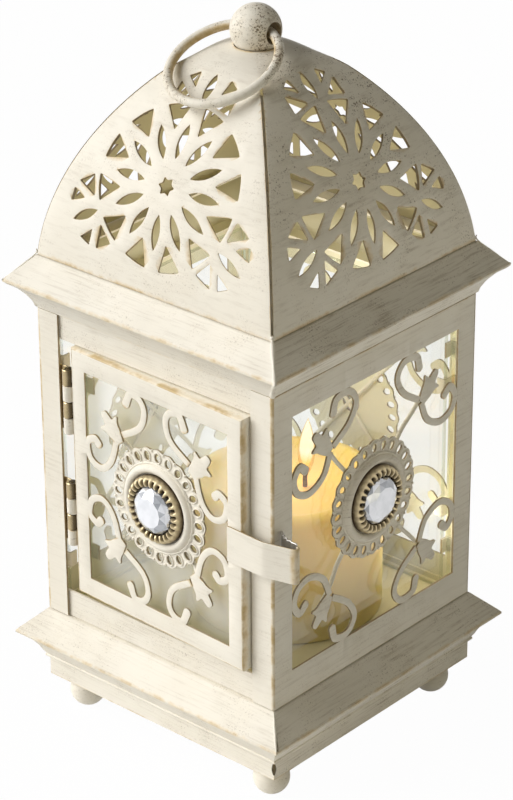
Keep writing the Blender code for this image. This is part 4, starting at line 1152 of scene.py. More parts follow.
def flame_light(name, stops, strength, solid):
    """Burning gas whose colour changes with its height; solid is how little shows through its upper part."""
    made = Surface(name)
    height = made.read("wear")
    thickness = height * 3.0 * solid
    made.set(
        Base_Color=(0.0, 0.0, 0.0),
        Roughness=1.0,
        Specular_IOR_Level=0.0,
        Emission_Color=made.add("ShaderNodeValToRGB", {"stops": stops}, {0: height}),
        Emission_Strength=strength,
        Alpha=thickness.maths("MINIMUM", thickness, solid),
    )
    return made.material


def flame_edge():
    """The flame's amber edge."""
    stops = (
        (0.0, (0.9, 0.25, 0.03)), (0.3, (1.0, 0.45, 0.08)),
        (0.6, (1.0, 0.62, 0.20)), (1.0, (1.0, 0.72, 0.30)),
    )
    return flame_light("flame_edge", stops, 1.0, 0.5)


def flame_core():
    """The flame's white core."""
    stops = (
        (0.0, (1.0, 0.42, 0.05)), (0.25, (1.0, 0.66, 0.16)),
        (0.45, (1.0, 0.93, 0.72)), (1.0, (1.0, 0.95, 0.80)),
    )
    return flame_light("flame_core", stops, 1.8, 1.0)


FINISHES = {
    "paint_floor": paint_floor,
    "paint_across": paint_across,
    "paint_upright": paint_upright,
    "paint_plain": paint_plain,
    "paint_speckled": paint_speckled,
    "antique_gilt": antique_gilt,
    "dark_bronze": dark_bronze,
    "plated_steel": plated_steel,
    "pane_glass": pane_glass,
    "hazy_glass": hazy_glass,
    "cut_glass": cut_glass,
    "candle_wax": candle_wax,
    "burnt_wick": burnt_wick,
    "flame_edge": flame_edge,
    "flame_core": flame_core,
}
ready = {}


def finished(name):
    """The material of a finish, made when it is first asked for."""
    if name not in ready:
        ready[name] = FINISHES[name]()
    return ready[name]


def cove(outer, inner):
    """Points of a shallow hollow between two (out, up) points of a moulding."""
    points = []
    for i in range(1, COVE_STEPS):
        share = i / COVE_STEPS
        straight = Vector(outer).lerp(Vector(inner), share)
        turn = math.radians(90) * share
        hollow = Vector((
            outer[0] + (inner[0] - outer[0]) * math.sin(turn),
            inner[1] + (outer[1] - inner[1]) * math.cos(turn),
        ))
        points.append(tuple(straight.lerp(hollow, COVE_DEPTH)))
    return points


def lip(top, bottom, wear):
    """A moulding's narrow upright edge, softened, with plain paint just beside it."""
    out = top[0]
    return [
        (out - EDGE_ROUND, top[1] + EDGE_ROUND * 0.3, wear),
        (out, top[1] - EDGE_ROUND, wear),
        (out, bottom[1] + EDGE_ROUND, wear * 0.8),
        (out - EDGE_ROUND, bottom[1], wear * 0.7),
    ]


def moulding(name, path, finish, replaces):
    """A sheet moulding with four mitred corners. The path of (out, up, wear) points runs down its outside."""
    inner = offset_path([(out, up) for out, up, rub in path], SHEET)
    section = list(path) + [(out, up, None) for out, up in inner[::-1]]
    work = blank()
    sweep_round(work, 0.0, 0.0, section)
    return piece(name, work, finish, "lantern", replaces, sharp=25)


def base_moulding():
    """The skirt and its plinth: a slope, a narrow lip, a hollow, a bead and an upright foot."""
    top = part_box("base_skirt")[1].z
    tip_half = BODY_HALF + SKIRT_REACH
    tip = BODY_BOTTOM - SKIRT_RISE
    under = tip - MOULDING_LIP
    plinth_top = PLINTH_BOTTOM + PLINTH_HEIGHT
    bead = PLINTH_HALF + COVE_BEAD
    run = Vector((tip_half - BODY_HALF, tip - top)).normalized()
    path = [
        (BODY_HALF - BASE_TOP_FLANGE, top, 0.0),
        (BODY_HALF - RIM, top, 0.0),
        (BODY_HALF + run.x * RIM, top + run.y * RIM, 0.25),
        (BODY_HALF + run.x * 3 * RIM, top + run.y * 3 * RIM, 0.0),
        (tip_half - run.x * MOULDING_SLOPE_END, tip - run.y * MOULDING_SLOPE_END, 0.0),
    ]
    path += lip((tip_half, tip), (tip_half, under), LIP_WEAR)
    path += [(out, up, 0.0) for out, up in cove((tip_half, under), (bead, plinth_top + COVE_BEAD))]
    middle = (bead - PLINTH_BEAD_RADIUS, plinth_top + PLINTH_BEAD_RISE)
    path += [(out, up, 0.25) for out, up in arc(middle, PLINTH_BEAD_RADIUS, 60, -60, 5)]
    path += [
        (PLINTH_HALF, plinth_top - COVE_BEAD / 2, 0.0),
        (PLINTH_HALF, PLINTH_BOTTOM + 3 * RIM, 0.0),
        (PLINTH_HALF, PLINTH_BOTTOM + EDGE_ROUND, 0.9),
        (PLINTH_HALF - EDGE_ROUND, PLINTH_BOTTOM, 0.6),
        (PLINTH_HALF - BASE_FOOT_FLANGE, PLINTH_BOTTOM, 0.0),
    ]
    return moulding("base_moulding", path, "paint_across", ["base_skirt"])


def eave_moulding():
    """The eave: a slope down from the dome, a narrow lip and a hollow back to the body."""
    tip_half = BODY_HALF + EAVE_REACH
    under = EAVE_BOTTOM + EAVE_COVE_HEIGHT
    tip = under + MOULDING_LIP
    run = Vector((tip_half - DOME_BASE_HALF, tip - EAVE_TOP)).normalized()
    path = [
        (DOME_BASE_HALF - EAVE_FLANGE, EAVE_TOP, 0.0),
        (DOME_BASE_HALF - RIM, EAVE_TOP, 0.0),
        (DOME_BASE_HALF + run.x * RIM, EAVE_TOP + run.y * RIM, 0.3),
        (DOME_BASE_HALF + run.x * 3 * RIM, EAVE_TOP + run.y * 3 * RIM, 0.0),
        (tip_half - run.x * MOULDING_SLOPE_END, tip - run.y * MOULDING_SLOPE_END, 0.0),
    ]
    path += lip((tip_half, tip), (tip_half, under), LIP_WEAR)
    path += [(out, up, 0.0) for out, up in cove((tip_half, under), (BODY_HALF, EAVE_BOTTOM))]
    path += [
        (BODY_HALF, EAVE_BOTTOM + RIM, 0.3),
        (BODY_HALF, EAVE_BOTTOM, 0.6),
        (BODY_HALF - EAVE_FLANGE, EAVE_BOTTOM, 0.0),
    ]
    return moulding("eave_moulding", path, "paint_across", ["eave"])


def ball_feet():
    """Four balls, each cut flat where it stands and where it meets the plinth."""
    trim = math.degrees(math.acos((FOOT_RADIUS - FOOT_TRIM) / FOOT_RADIUS))
    profile = [(0.0, FOOT_RADIUS - FOOT_TRIM, 0.0)]
    profile += [(r, z, 0.0) for r, z in arc((0, 0), FOOT_RADIUS, 90 - trim, trim - 90, 26)]
    profile.append((0.0, FOOT_TRIM - FOOT_RADIUS, 0.0))
    for corner in ("front_left", "front_right", "back_left", "back_right"):
        low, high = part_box("foot_" + corner)
        work = blank()
        turned(work, profile, 48, Matrix.Translation((low + high) / 2))
        piece("ball_foot_" + corner, work, "paint_plain", "lantern", ["foot_" + corner], 60)


def scroll(points):
    """The outline of a band along the points that swells to a rounded tip, and points just inside it."""
    line = smooth_points(points, SCROLL_STEPS)
    left, right, inside = [], [], []
    for i, spot in enumerate(line):
        along = (line[min(i + 1, len(line) - 1)] - line[max(i - 1, 0)]).normalized()
        side = Vector((-along.y, along.x))
        share = i / (len(line) - 1)
        half = (SCROLL_WIDTH + (SCROLL_TIP_WIDTH - SCROLL_WIDTH) * share ** 3) / 2
        left.append(spot + side * half)
        right.append(spot - side * half)
        inside += [spot + side * (half - RIM), spot - side * (half - RIM)]
    tip = []
    for degrees in (60, 30, 0, -30, -60):
        turn = math.radians(degrees)
        tip.append(line[-1] + along * math.cos(turn) * half * 0.9 + side * math.sin(turn) * half)
    return [tuple(p) for p in left + tip + right[::-1]], [tuple(p) for p in inside]


def leaf(middle, direction):
    """A small leaf with barbed lobes that points along the direction, and points just inside it."""
    along = Vector(direction).normalized()
    side = Vector((-along.y, along.x))
    upper = [(a * LEAF_LENGTH, b * LEAF_LENGTH) for a, b in LEAF_OUTLINE]
    outline = upper + [(a, -b) for a, b in upper[-2::-1]]
    placed = [tuple(Vector(middle) + along * a + side * b) for a, b in outline]
    spine = [tuple(Vector(middle) + along * a * LEAF_LENGTH) for a in (-0.2, 0.0, 0.2, 0.4, 0.6, 0.8)]
    return placed, spine + widened(anticlockwise(placed), -RIM)


def fretwork(half, up, across, leaf_at):
    """The shapes of the four corner motifs in a window of this half size, and points just inside them."""
    shapes, inside = [], []
    for x in (-1, 1):
        for y in (-1, 1):
            def put(inset):
                """A point given by its distances from this corner of the window."""
                return Vector((x * (half[0] - inset[0]), y * (half[1] - inset[1])))

            for run in (up, across):
                outline, extra = scroll([put(p) for p in run])
                shapes.append((outline, []))
                inside += extra
            outline, extra = leaf(put(leaf_at), put(leaf_at))
            shapes.append((outline, []))
            inside += extra
    return shapes, inside


def panel_region(outer_half, window_half, middle, motifs):
    """A framed window with its fretwork. middle is the window's height above the frame's own middle."""

    def border(half, inset, below=0.0):
        """Points round a rectangle of a half size, moved inwards and down."""
        low = (-half[0] + inset, -half[1] - below + inset)
        high = (half[0] - inset, half[1] - below - inset)
        return split(rectangle(low, high), PANEL_STEP)

    shapes, inside = fretwork(window_half, *motifs)
    loose = inside + border(window_half, -RIM) + border(outer_half, 2 * RIM, middle)
    return filled([(border(outer_half, 0.0, middle), [border(window_half, 0.0)])] + shapes, loose)


def tab(work, edge, sign, height, place):
    """A strip bent from a sheet round a pane's upright edge and behind its face."""
    near = edge + GAP + SHEET / 2
    back = -GLASS_BACK - GAP - SHEET / 2
    path = [(near, -SHEET / 2, 0.0), (near, back + TAB_BEND, 0.0)]
    path += [(near - TAB_BEND / 3, back + TAB_BEND / 3, 0.0), (near - TAB_BEND, back, 0.0)]
    path.append((edge + GAP + SHEET - TAB_FINGER, back, 0.0))
    strip(work, path, SHEET * 0.96, -TAB_WIDTH / 2, TAB_WIDTH / 2, place @ beside(sign, height), 0.0)


def side_sheets():
    """The two side sheets with their bent corner posts, and the back sheet."""
    window = (BODY_HALF - SIDE_STILE, (BODY_HEIGHT - SIDE_RAIL_TOP - SIDE_RAIL_BOTTOM) / 2)
    centre = SIDE_RAIL_BOTTOM + window[1]
    middle = centre - BODY_HEIGHT / 2
    motifs = (SIDE_SCROLL_UP, SIDE_SCROLL_ACROSS, SIDE_LEAF)
    flat_half = BODY_HALF - POST_BEND
    wide = panel_region((flat_half, BODY_HEIGHT / 2), window, middle, motifs=motifs)
    narrow = panel_region((BACK_HALF, BODY_HEIGHT / 2), window, middle, motifs=motifs)
    for side, angle, reach in (("right", 0, BODY_HALF), ("left", 180, BODY_HALF), ("back", 90, BACK_HALF)):
        at = facing(math.radians(angle), reach, BODY_BOTTOM + centre)
        work = blank()
        bare = None if side == "back" else lambda p: abs(p.x) > flat_half - RIM
        sheet(work, narrow if side == "back" else wide, SHEET, lambda x, y, d: at @ Vector((x, y, -d)), bare)
        tabs, lap = SIDE_TAB_HEIGHTS, GLASS_LAP
        if side == "back":
            tabs, lap = BACK_TAB_HEIGHTS, BACK_GLASS_LAP
        for sign in (-1, 1):
            for height in tabs:
                tab(work, window[0] + lap, sign, height - centre, at)
            if side != "back":
                corner_post(work, sign, at @ Matrix.Translation((0, -centre, 0)))
        name = "back_sheet" if side == "back" else side + "_side_sheet"
        node = "back_panel" if side == "back" else "side_panel_" + side
        piece(name, work, "paint_upright", "lantern", [node], 40)


def corner_post(work, sign, place):
    """The return of a side sheet: a rounded bend and the post that it makes of the next face."""
    flat = BODY_HALF - POST_BEND
    middle = SHEET / 2
    path = [(flat, -middle, 0.0)]
    for x, y in arc((flat, -POST_BEND), POST_BEND - middle, 90, 0, 8)[1:]:
        path.append((x, y, 1.0))
    path += [
        (BODY_HALF - middle, -POST_BEND - 0.0005, 0.35),
        (BODY_HALF - middle, -POST_BEND - 0.0010, 0.0),
        (BODY_HALF - middle, -POST_WIDTH + 0.0005, 0.0),
        (BODY_HALF - middle, -POST_WIDTH, 0.5),
    ]
    strip(work, path, SHEET, 0.0, BODY_HEIGHT, place @ beside(sign), 0.0)


def door_tray():
    """The pressed tray: a face with fretwork, a rounded edge and four walls."""
    half = (DOOR_WIDTH / 2, DOOR_HEIGHT / 2)
    window = (half[0] - DOOR_STILE, half[1] - DOOR_RAIL)
    flat = (half[0] - DOOR_BEND, half[1] - DOOR_BEND)
    at = DOOR_PANEL @ Matrix.Translation((0, half[1], 0))
    region = panel_region(flat, window, 0.0, motifs=(DOOR_SCROLL_UP, DOOR_SCROLL_ACROSS, DOOR_LEAF))
    work = blank()

    def joined(p):
        """Whether a point lies where the face runs on into the walls."""
        return abs(p.x) > flat[0] - RIM or abs(p.y) > flat[1] - RIM

    sheet(work, region, SHEET, lambda x, y, d: at @ Vector((x, y, -d)), joined)
    outer = [(-DOOR_BEND, -EDGE_ROUND, 0.0)]
    outer += [(x, y, 1.0) for x, y in arc((-DOOR_BEND, -DOOR_BEND), DOOR_BEND, 80, 0, 5)]
    outer += [(0.0, -DOOR_BEND - 0.0010, 0.85), (0.0, -DOOR_BEND - 0.0024, 0.35)]
    outer += [(0.0, -DOOR_DEPTH + 0.0008, 0.0), (0.0, -DOOR_DEPTH, 0.8)]
    inner = [(-SHEET, -DOOR_DEPTH, None), (-SHEET, -DOOR_BEND - SHEET, None), (-DOOR_BEND, -SHEET, None)]
    sweep_round(work, half[0], half[1], outer + inner, at)
    for sign in (-1, 1):
        for height in DOOR_TAB_HEIGHTS:
            path = [(half[0] - SHEET / 2, 0.0, 0.0), (half[0] - SHEET - TAB_FINGER, 0.0, 0.0)]
            back = Matrix.Translation((0, 0, -GLASS_BACK - GAP - SHEET / 2))
            spot = at @ back @ beside(sign, height - half[1])
            strip(work, path, SHEET, -TAB_WIDTH / 2, TAB_WIDTH / 2, spot, 0.0)
    return piece("door_tray", work, "paint_upright", "door", ["door_frame"], 40)


def door_hinges():
    """Two butt hinges: bronze leaves with their knuckles on the body, painted ones on the door, and pins."""
    knuckle = (HINGE_LENGTH - GAP * (KNUCKLES - 1)) / KNUCKLES
    bore = HINGE_PIN_RADIUS + GAP
    soft = 0.0002
    clear = HINGE_BARREL_RADIUS + GAP
    for which, height in HINGE_HEIGHTS.items():
        base = Matrix.Translation((0, 0, BODY_BOTTOM + height))
        for owner, first, axis, finish, slot in (
            ("body", 0, HINGE_AXIS, "dark_bronze", "dark_bronze"),
            ("door", 1, DOOR_AXIS, "paint_plain", "cream_paint"),
        ):
            work = blank()
            place = axis @ base
            for i in range(first, KNUCKLES, 2):
                low = HINGE_LENGTH - (i + 1) * knuckle - i * GAP
                high = low + knuckle
                profile = [
                    (bore, high, 0.5), (HINGE_BARREL_RADIUS - soft, high, 0.8),
                    (HINGE_BARREL_RADIUS, high - soft, 0.3), (HINGE_BARREL_RADIUS, high - 3 * soft, 0.0),
                    (HINGE_BARREL_RADIUS, low + 3 * soft, 0.0), (HINGE_BARREL_RADIUS, low + soft, 0.3),
                    (HINGE_BARREL_RADIUS - soft, low, 0.8), (bore, low, 0.5),
                ]
                turned(work, profile, 32, place, closed=True)
                if owner == "body":
                    middle = SHEET + GAP + HINGE_LEAF / 2
                    path = [(-clear, middle, 0.0), (-0.0002, middle, 0.0)]
                else:
                    middle = DOOR_HINGE_EDGE - GAP - HINGE_LEAF / 2
                    path = [(middle, 0.0002, 0.0), (middle, clear, 0.0)]
                strip(work, path, HINGE_LEAF * 0.98, low + 0.0001, high - 0.0001, place, 0.3)
            if owner == "body":
                path = [(-HINGE_LEAF_REACH, middle, 0.0), (-clear + 0.0001, middle, 0.0)]
            else:
                path = [(middle, clear - 0.0001, 0.0), (middle, DOOR_DEPTH - DOOR_PROUD - GAP, 0.0)]
            strip(work, path, HINGE_LEAF, 0.0, HINGE_LENGTH, place, 0.3)
            if owner == "body":
                # Painted highlight and shade on the body's knuckles: the wear mark is high on the side towards
                # the camera's left and low towards its right, where the bronze turns near-black
                worn = work.verts.layers.float["wear"]
                back = place.inverted()
                for vertex in work.verts:
                    spot = back @ vertex.co
                    camera_right_shade = (0.75 * spot.x + 0.66 * spot.y) / HINGE_BARREL_RADIUS
                    vertex[worn] = held(0.28 - 1.3 * camera_right_shade)
            node = f"hinge_{which}_{owner}_leaf"
            body = "lantern" if owner == "body" else "door"
            piece(f"{which}_hinge_{owner}_side", work, finish, body, [node], 40)
        work = blank()
        ends = [(0.0, HINGE_LENGTH + GAP, 0.0), (HINGE_PIN_RADIUS * 0.8, HINGE_LENGTH + GAP * 0.5, 0.0)]
        ends += [(HINGE_PIN_RADIUS, HINGE_LENGTH, 0.0), (HINGE_PIN_RADIUS, 0.0, 0.0)]
        ends += [(HINGE_PIN_RADIUS * 0.8, -GAP * 0.5, 0.0), (0.0, -GAP, 0.0)]
        turned(work, ends, 24, HINGE_AXIS @ base)
        piece(f"{which}_hinge_pin", work, "dark_bronze", "lantern", [f"hinge_{which}_pin"], 50)


def latch():
    """A strip on the door's stile that bends back past the corner post and hooks round it."""
    front = -DOOR_PROUD - GAP - STRAP_THICKNESS / 2
    along = Vector((math.cos(STRAP_TURN), math.sin(STRAP_TURN)))
    bend = Vector((STRAP_BEND, front))
    nose = bend + along * STRAP_NOSE
    path = [
        (STRAP_START, front, 0.7),
        (STRAP_START + 0.0006, front, 0.0),
        (STRAP_BEND - 0.0016, front, 0.0),
        (STRAP_BEND - 0.0006, front + 0.00003, 0.25),
        (*(bend + along * 0.0006 + Vector((0, -0.00003))), 0.25),
        (*(bend + along * 0.0018), 0.0),
        (*(nose - along * 0.0022), 0.0),
        (*(nose - along * 0.0010), 0.6),
    ]
    side = Vector((-along.y, along.x))
    centre = nose + side * STRAP_HAIRPIN_RADIUS
    for i in range(13):
        turn = math.radians(15 * i)
        spot = centre + (along * math.sin(turn) - side * math.cos(turn)) * STRAP_HAIRPIN_RADIUS
        path.append((*spot, 1.15 if i < 10 else 0.4))
    at = DOOR_AXIS @ Matrix.Translation((0, 0, BODY_BOTTOM + STRAP_BOTTOM))
    work = blank()
    strip(work, path, STRAP_THICKNESS, 0.0, STRAP_HEIGHT, at, 1.0)
    piece("latch_hook", work, "paint_upright", "door", ["latch_strap"], 40)
    tail = Vector(path[-1][:2])
    drops = [(0.45, 0.12), (0.8, 0.5), (1.0, 1.0)]
    guide = [tail] + [tail + Vector((-STRAP_TAIL_REACH * a, STRAP_TAIL_DROP * b)) for a, b in drops]
    line = smooth_points(guide, 6)
    crumpled = []
    for i, spot in enumerate(line):
        crumple = STRAP_CRUMPLE * math.sin(i * 1.9) * math.sin(math.pi * i / (len(line) - 1))
        crumpled.append((spot.x, spot.y + crumple, 0.3))
    work = blank()
    strip(work, crumpled, STRAP_THICKNESS * 0.96, 0.0002, STRAP_HEIGHT + STRAP_TAIL_PROUD, at, 0.3)
    piece("latch_tail", work, "plated_steel", "door", sharp=40)


def dome_curve(along):
    """Half width, height and slope angle of the dome's ridge at a length along it from the eave."""
    if along <= DOME_BEND:
        angle = DOME_START_ANGLE + along / DOME_MAIN_RADIUS
        half = DOME_CENTRE_HALF + DOME_MAIN_RADIUS * math.cos(angle)
        return half, DOME_CENTRE_Z + DOME_MAIN_RADIUS * math.sin(angle), angle
    angle = DOME_BEND_ANGLE + (along - DOME_BEND) / DOME_TOP_RADIUS
    half = DOME_TOP_RADIUS * math.cos(angle)
    return half, DOME_CENTRE_Z + DOME_RISE + DOME_TOP_RADIUS * math.sin(angle), angle


def on_dome(across, along, depth):
    """The place of a point of a flat petal, a depth below the outer face."""
    half, z, angle = dome_curve(along)
    share = across / half
    crown = 0.0
    if along < 2 * DOME_CROWN_AT:
        crown = DOME_CROWN * along * (2 * DOME_CROWN_AT - along) / DOME_CROWN_AT ** 2 * (1 - share ** 2)
    out = crown - depth
    spot = Vector((half + out * math.cos(angle), 0, z + out * math.sin(angle)))
    spot.y = share * (half - depth * math.cos(angle))
    rounding = eased((along - DOME_ROUND_FROM) / (DOME_HOLE - DOME_ROUND_FROM))
    reach = math.hypot(spot.x, spot.y)
    scale = 1 + rounding * ((half - depth * math.cos(angle)) * DOME_ROUND_FACTOR / reach - 1)
    return Vector((spot.x * scale, spot.y * scale, spot.z))


def polar(radius, degrees):
    """A point about the rosette's middle, stretched across as the pattern is."""
    turn = math.radians(degrees)
    return (radius * math.cos(turn) * ROSETTE_STRETCH, ROSETTE_AT + radius * math.sin(turn))


def lens(inner, outer, width, degrees, steps=9):
    """A pointed oval hole between two radii."""
    points = []
    for side in (1, -1):
        for i in range(steps):
            share = i / steps if side == 1 else 1 - i / steps
            radius = inner + (outer - inner) * share
            half = width / 2 * math.sin(math.pi * share) ** 0.8
            points.append(polar(radius, degrees + side * math.degrees(half / radius)))
    return points


def piercings():
    """The outlines of all holes in one petal."""
    holes = [rounded([polar(STAR_INNER if i % 2 else STAR_OUTER, 30 * i) for i in range(12)], 0.0005, 2)]
    for i in range(12):
        holes.append(lens(PETAL_INNER, PETAL_OUTER, PETAL_WIDTH, 30 * i))
        middle = 30 * i + 15
        corners = [polar(WEDGE_APEX, middle)]
        corners += [polar(WEDGE_OUTER, middle + WEDGE_HALF_ANGLE * k / 3) for k in range(-3, 4)]
        holes.append(rounded(corners, PIERCING_CORNER, 2))
    for ray in (90, 210, 330):
        holes.append(lens(SATELLITE_INNER, SATELLITE_OUTER, SATELLITE_WIDTH, ray))
        for triangle in (SATELLITE_INNER_TRIANGLE, SATELLITE_OUTER_TRIANGLE):
            for side in (-1, 1):
                corners = [polar(radius, ray + side * turn) for radius, turn in triangle]
                holes.append(rounded(corners, PIERCING_CORNER, 2))
    return [anticlockwise(hole) for hole in holes]


def petal_region():
    """One flat petal with its piercings, with points for its bends."""

    def side_half(along):
        """Half the petal's width, which leaves room for the slit below the seam's end."""
        return dome_curve(along)[0] - (RIDGE_SLIT / 2 if along < SEAM_END - 1e-6 else 0.0)

    rows = [SEAM_END * i / DOME_ROWS for i in range(DOME_ROWS + 1)]
    upper = [SEAM_END + (DOME_HOLE - SEAM_END) * i / 8 for i in range(1, 9)]
    right = [(side_half(along), along) for along in rows[:-1]]
    right += [(dome_curve(SEAM_END)[0] - RIDGE_SLIT / 2, SEAM_END - 1e-5)]
    right += [(dome_curve(along)[0], along) for along in [SEAM_END] + upper]
    top_half = right[-1][0]
    top = [(top_half * (1 - 2 * k / 8), DOME_HOLE) for k in range(1, 8)]
    bottom_half = right[0][0]
    bottom = [(bottom_half * (2 * k / DOME_COLUMNS - 1), 0.0) for k in range(1, DOME_COLUMNS)]
    outline = right + top + [(-x, y) for x, y in right[::-1]] + bottom
    holes = piercings()
    loose = [p for hole in holes for p in widened(hole, RIM)]
    keep_off = [Outline(widened(hole, 2.2 * RIM)) for hole in holes]
    for along in rows[1:] + upper[:-1]:
        half = side_half(along)
        loose += [(half - 2 * RIM, along), (2 * RIM - half, along)]
        for k in range(1, DOME_COLUMNS):
            across = half * (2 * k / DOME_COLUMNS - 1)
            if not any(hole.holds(across, along) for hole in keep_off):
                loose.append((across, along))
    return filled([(outline, holes)], loose)


def pierced_dome():
    """Four pierced petals bent from one sheet, open along the ridges and joined round the top."""
    region = petal_region()
    work = blank()

    def welded(p):
        """Whether a point lies on the part of a ridge where two petals are one sheet."""
        return p.y > SEAM_END - 1e-6 and abs(p.x) > dome_curve(p.y)[0] - 1e-5

    for quarter in range(4):
        turn = Matrix.Rotation(math.radians(90 * quarter), 3, "Z")
        sheet(work, region, SHEET, lambda x, y, depth: turn @ on_dome(x, y, depth), welded)
    bmesh.ops.remove_doubles(work, verts=work.verts, dist=0.00001)
    return piece("pierced_dome", work, "paint_plain", "lantern", ["dome_shell"], 40)


def ridge_linings():
    """A bead of solder behind each ridge slit."""
    depth = SHEET + GAP + RIDGE_BEAD_RADIUS
    first = 2 * RIDGE_BEAD_RADIUS
    for name, quarter in (("back_right", 0), ("back_left", 1), ("front_left", 2), ("front_right", 3)):
        points, radii = [], []
        for i in range(61):
            along = first + (SEAM_END - depth - first) * i / 60
            half, z, angle = dome_curve(along)
            inset = half - depth * math.cos(angle)
            spot = Matrix.Rotation(math.radians(90 * quarter), 3, "Z") @ Vector((inset, inset, 0))
            points.append((spot.x, spot.y, z - depth * math.sin(angle)))
            radii.append(RIDGE_BEAD_RADIUS * (0.92 + 0.08 * math.sin(i * 1.7 + quarter)))
        work = blank()
        tube(work, points, radii, 14)
        node = "ridge_bead_" + name
        piece("ridge_solder_" + name, work, "paint_plain", "lantern", [node], 60)


def solder_drips():
    """A run of solder down each corner of the eave, from the dome's ridge over the slope and the cove."""
    tip = BODY_HALF + EAVE_REACH
    under = EAVE_BOTTOM + EAVE_COVE_HEIGHT
    hollow = cove((tip, under), (BODY_HALF, EAVE_BOTTOM))
    guide = [(DOME_BASE_HALF + 0.0001, EAVE_TOP + 0.0022), (DOME_BASE_HALF + 0.0006, EAVE_TOP)]
    guide += [(tip - 0.0010, under + MOULDING_LIP + 0.0010), (tip + 0.0001, under + 0.0004)]
    guide += [hollow[3], hollow[6], (BODY_HALF + 0.0003, EAVE_BOTTOM + 0.0003)]
    line = smooth_points(guide, 8)
    for name, proud in SOLDER_SHARE.items():
        x = 1 if "right" in name else -1
        y = 1 if "back" in name else -1
        points, radii = [], []
        for i, (half, z) in enumerate(line):
            points.append((x * (half - SOLDER_INSET), y * (half - SOLDER_INSET), z))
            ripple = SOLDER_RIPPLE * math.sin(i * 0.9 + x + 2 * y)
            drop = SOLDER_DROP * (i / (len(line) - 1)) ** 6
            radii.append(proud * (SOLDER_RADIUS + ripple + drop))
        radii[0] = 0.0002
        radii[-1] = 0.0003
        work = blank()
        tube(work, points, radii, 12)
        piece("eave_solder_" + name, work, "paint_plain", "lantern", sharp=60)


def mitre_seams():
    """The base's front corner: a bead down the skirt's mitre, and dark tubes sunk in the paint that are painted
    shadow, of a slit beside the bead and of an open plinth corner.
    """
    tip = BODY_HALF + SKIRT_REACH
    top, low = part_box("base_skirt")[1].z, BODY_BOTTOM - SKIRT_RISE
    sunk = 0.0002

    def on_skirt(share, sideways):
        """A point a share of the way down the mitre, just under the paint."""
        half = BODY_HALF + (tip - BODY_HALF) * share - sunk
        return (half, sideways - half, top + (low - top) * share)

    bead = [on_skirt(0.12 + 0.86 * i / 16, 0.0) for i in range(17)]
    bead_radii = [
        0.0003 + 0.00022 * math.sin(math.pi * i / 16) + 0.00005 * math.sin(i * 1.9) for i in range(17)
    ]
    # Painted shadow: a dark tube for the shade in the slit beside the mitre, and another for the open corner of
    # the plinth
    slit = [on_skirt(0.45 + 0.53 * i / 10, 0.0007) for i in range(11)]
    slit_radii = [0.0001 + 0.00022 * i / 10 for i in range(11)]
    corner = PLINTH_HALF - 0.0003
    gap_top = PLINTH_BOTTOM + PLINTH_HEIGHT - 0.0004
    gap_length = 0.0056
    gap = [(corner, -corner, gap_top - gap_length * i / 8) for i in range(9)]
    gap_radii = [0.0002 + 0.00065 * math.sin(math.pi * i / 8) for i in range(9)]
    for name, points, radii, finish in (
        ("mitre_bead", bead, bead_radii, "paint_plain"),
        ("mitre_slit_shadow", slit, slit_radii, "dark_bronze"),
        ("plinth_gap_shadow", gap, gap_radii, "dark_bronze"),
    ):
        work = blank()
        tube(work, points, radii, 10)
        piece(name, work, finish, "lantern", sharp=60)


def finial():
    """The bored ball, its screw and cup washer, and the wire ring."""
    middle = Vector((0, 0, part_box("finial_ball")[1].z - BALL_RADIUS))
    bore = middle + Vector((0, 0, BORE_RISE))
    work = blank()
    rings = 48
    profile = [(0.0, BALL_RADIUS, 0.0)]
    for i in range(1, rings):
        turn = math.pi * i / rings
        profile.append((BALL_RADIUS * math.sin(turn), BALL_RADIUS * math.cos(turn), 0.0))
    profile.append((0.0, -BALL_RADIUS, 0.0))
    turned(work, profile, 2 * rings, Matrix.Translation(middle))
    ball = piece("bored_ball", work, "paint_speckled", "lantern", ["finial_ball"], 0)
    work = blank()
    along_x = Matrix.Translation(bore) @ Matrix.Rotation(math.pi / 2, 4, "Y")
    reach = 1.5 * BALL_RADIUS
    mouth = math.sqrt(BALL_RADIUS ** 2 - BORE_RADIUS ** 2)
    flare = BORE_RADIUS + BORE_FLARE
    half = [(BORE_RADIUS, mouth - 0.0006), (flare, mouth + 0.0001), (flare + 0.0006, reach), (0.0, reach)]
    profile = [(radius, height, 0.0) for radius, height in half[::-1]]
    profile += [(radius, -height, 0.0) for radius, height in half]
    turned(work, profile, 48, along_x)
    # The bore's walls take the cut mark, so they come out dark brown: painted shade inside the bore
    bare = work.faces.layers.float["cut"]
    for face in work.faces:
        face[bare] = 1.0
    bmesh.ops.recalc_face_normals(work, faces=work.faces)
    cutter_mesh = bpy.data.meshes.new("bore")
    work.to_mesh(cutter_mesh)
    work.free()
    drilled(ball, added("bore", cutter_mesh))
    smooth(ball.data, 40)
    dress("plated_steel", "finial_screw", "finial_washer")

    work = blank()
    points = []
    lean = Matrix.Translation(bore) @ Matrix.Rotation(RING_LEAN, 4, "X")
    hub_at = RING_MID_BEYOND_BORE - RING_RADIUS
    for i in range(120):
        turn = 2 * math.pi * i / 120
        spot = Vector((RING_RADIUS * math.sin(turn), hub_at + RING_RADIUS * math.cos(turn), 0))
        points.append(lean @ spot)
    tube(work, points, RING_WIRE_RADIUS, 20, closed=True)
    worn = work.verts.layers.float["wear"]
    hub = lean @ Vector((0, hub_at, 0))
    for vertex in work.verts:
        inward = RING_RADIUS - (vertex.co - hub).length
        vertex[worn] = 1.1 * held(inward / RING_WIRE_RADIUS + 0.1)
    piece("wire_ring", work, "paint_speckled", "ring", ["carry_ring"], 60)


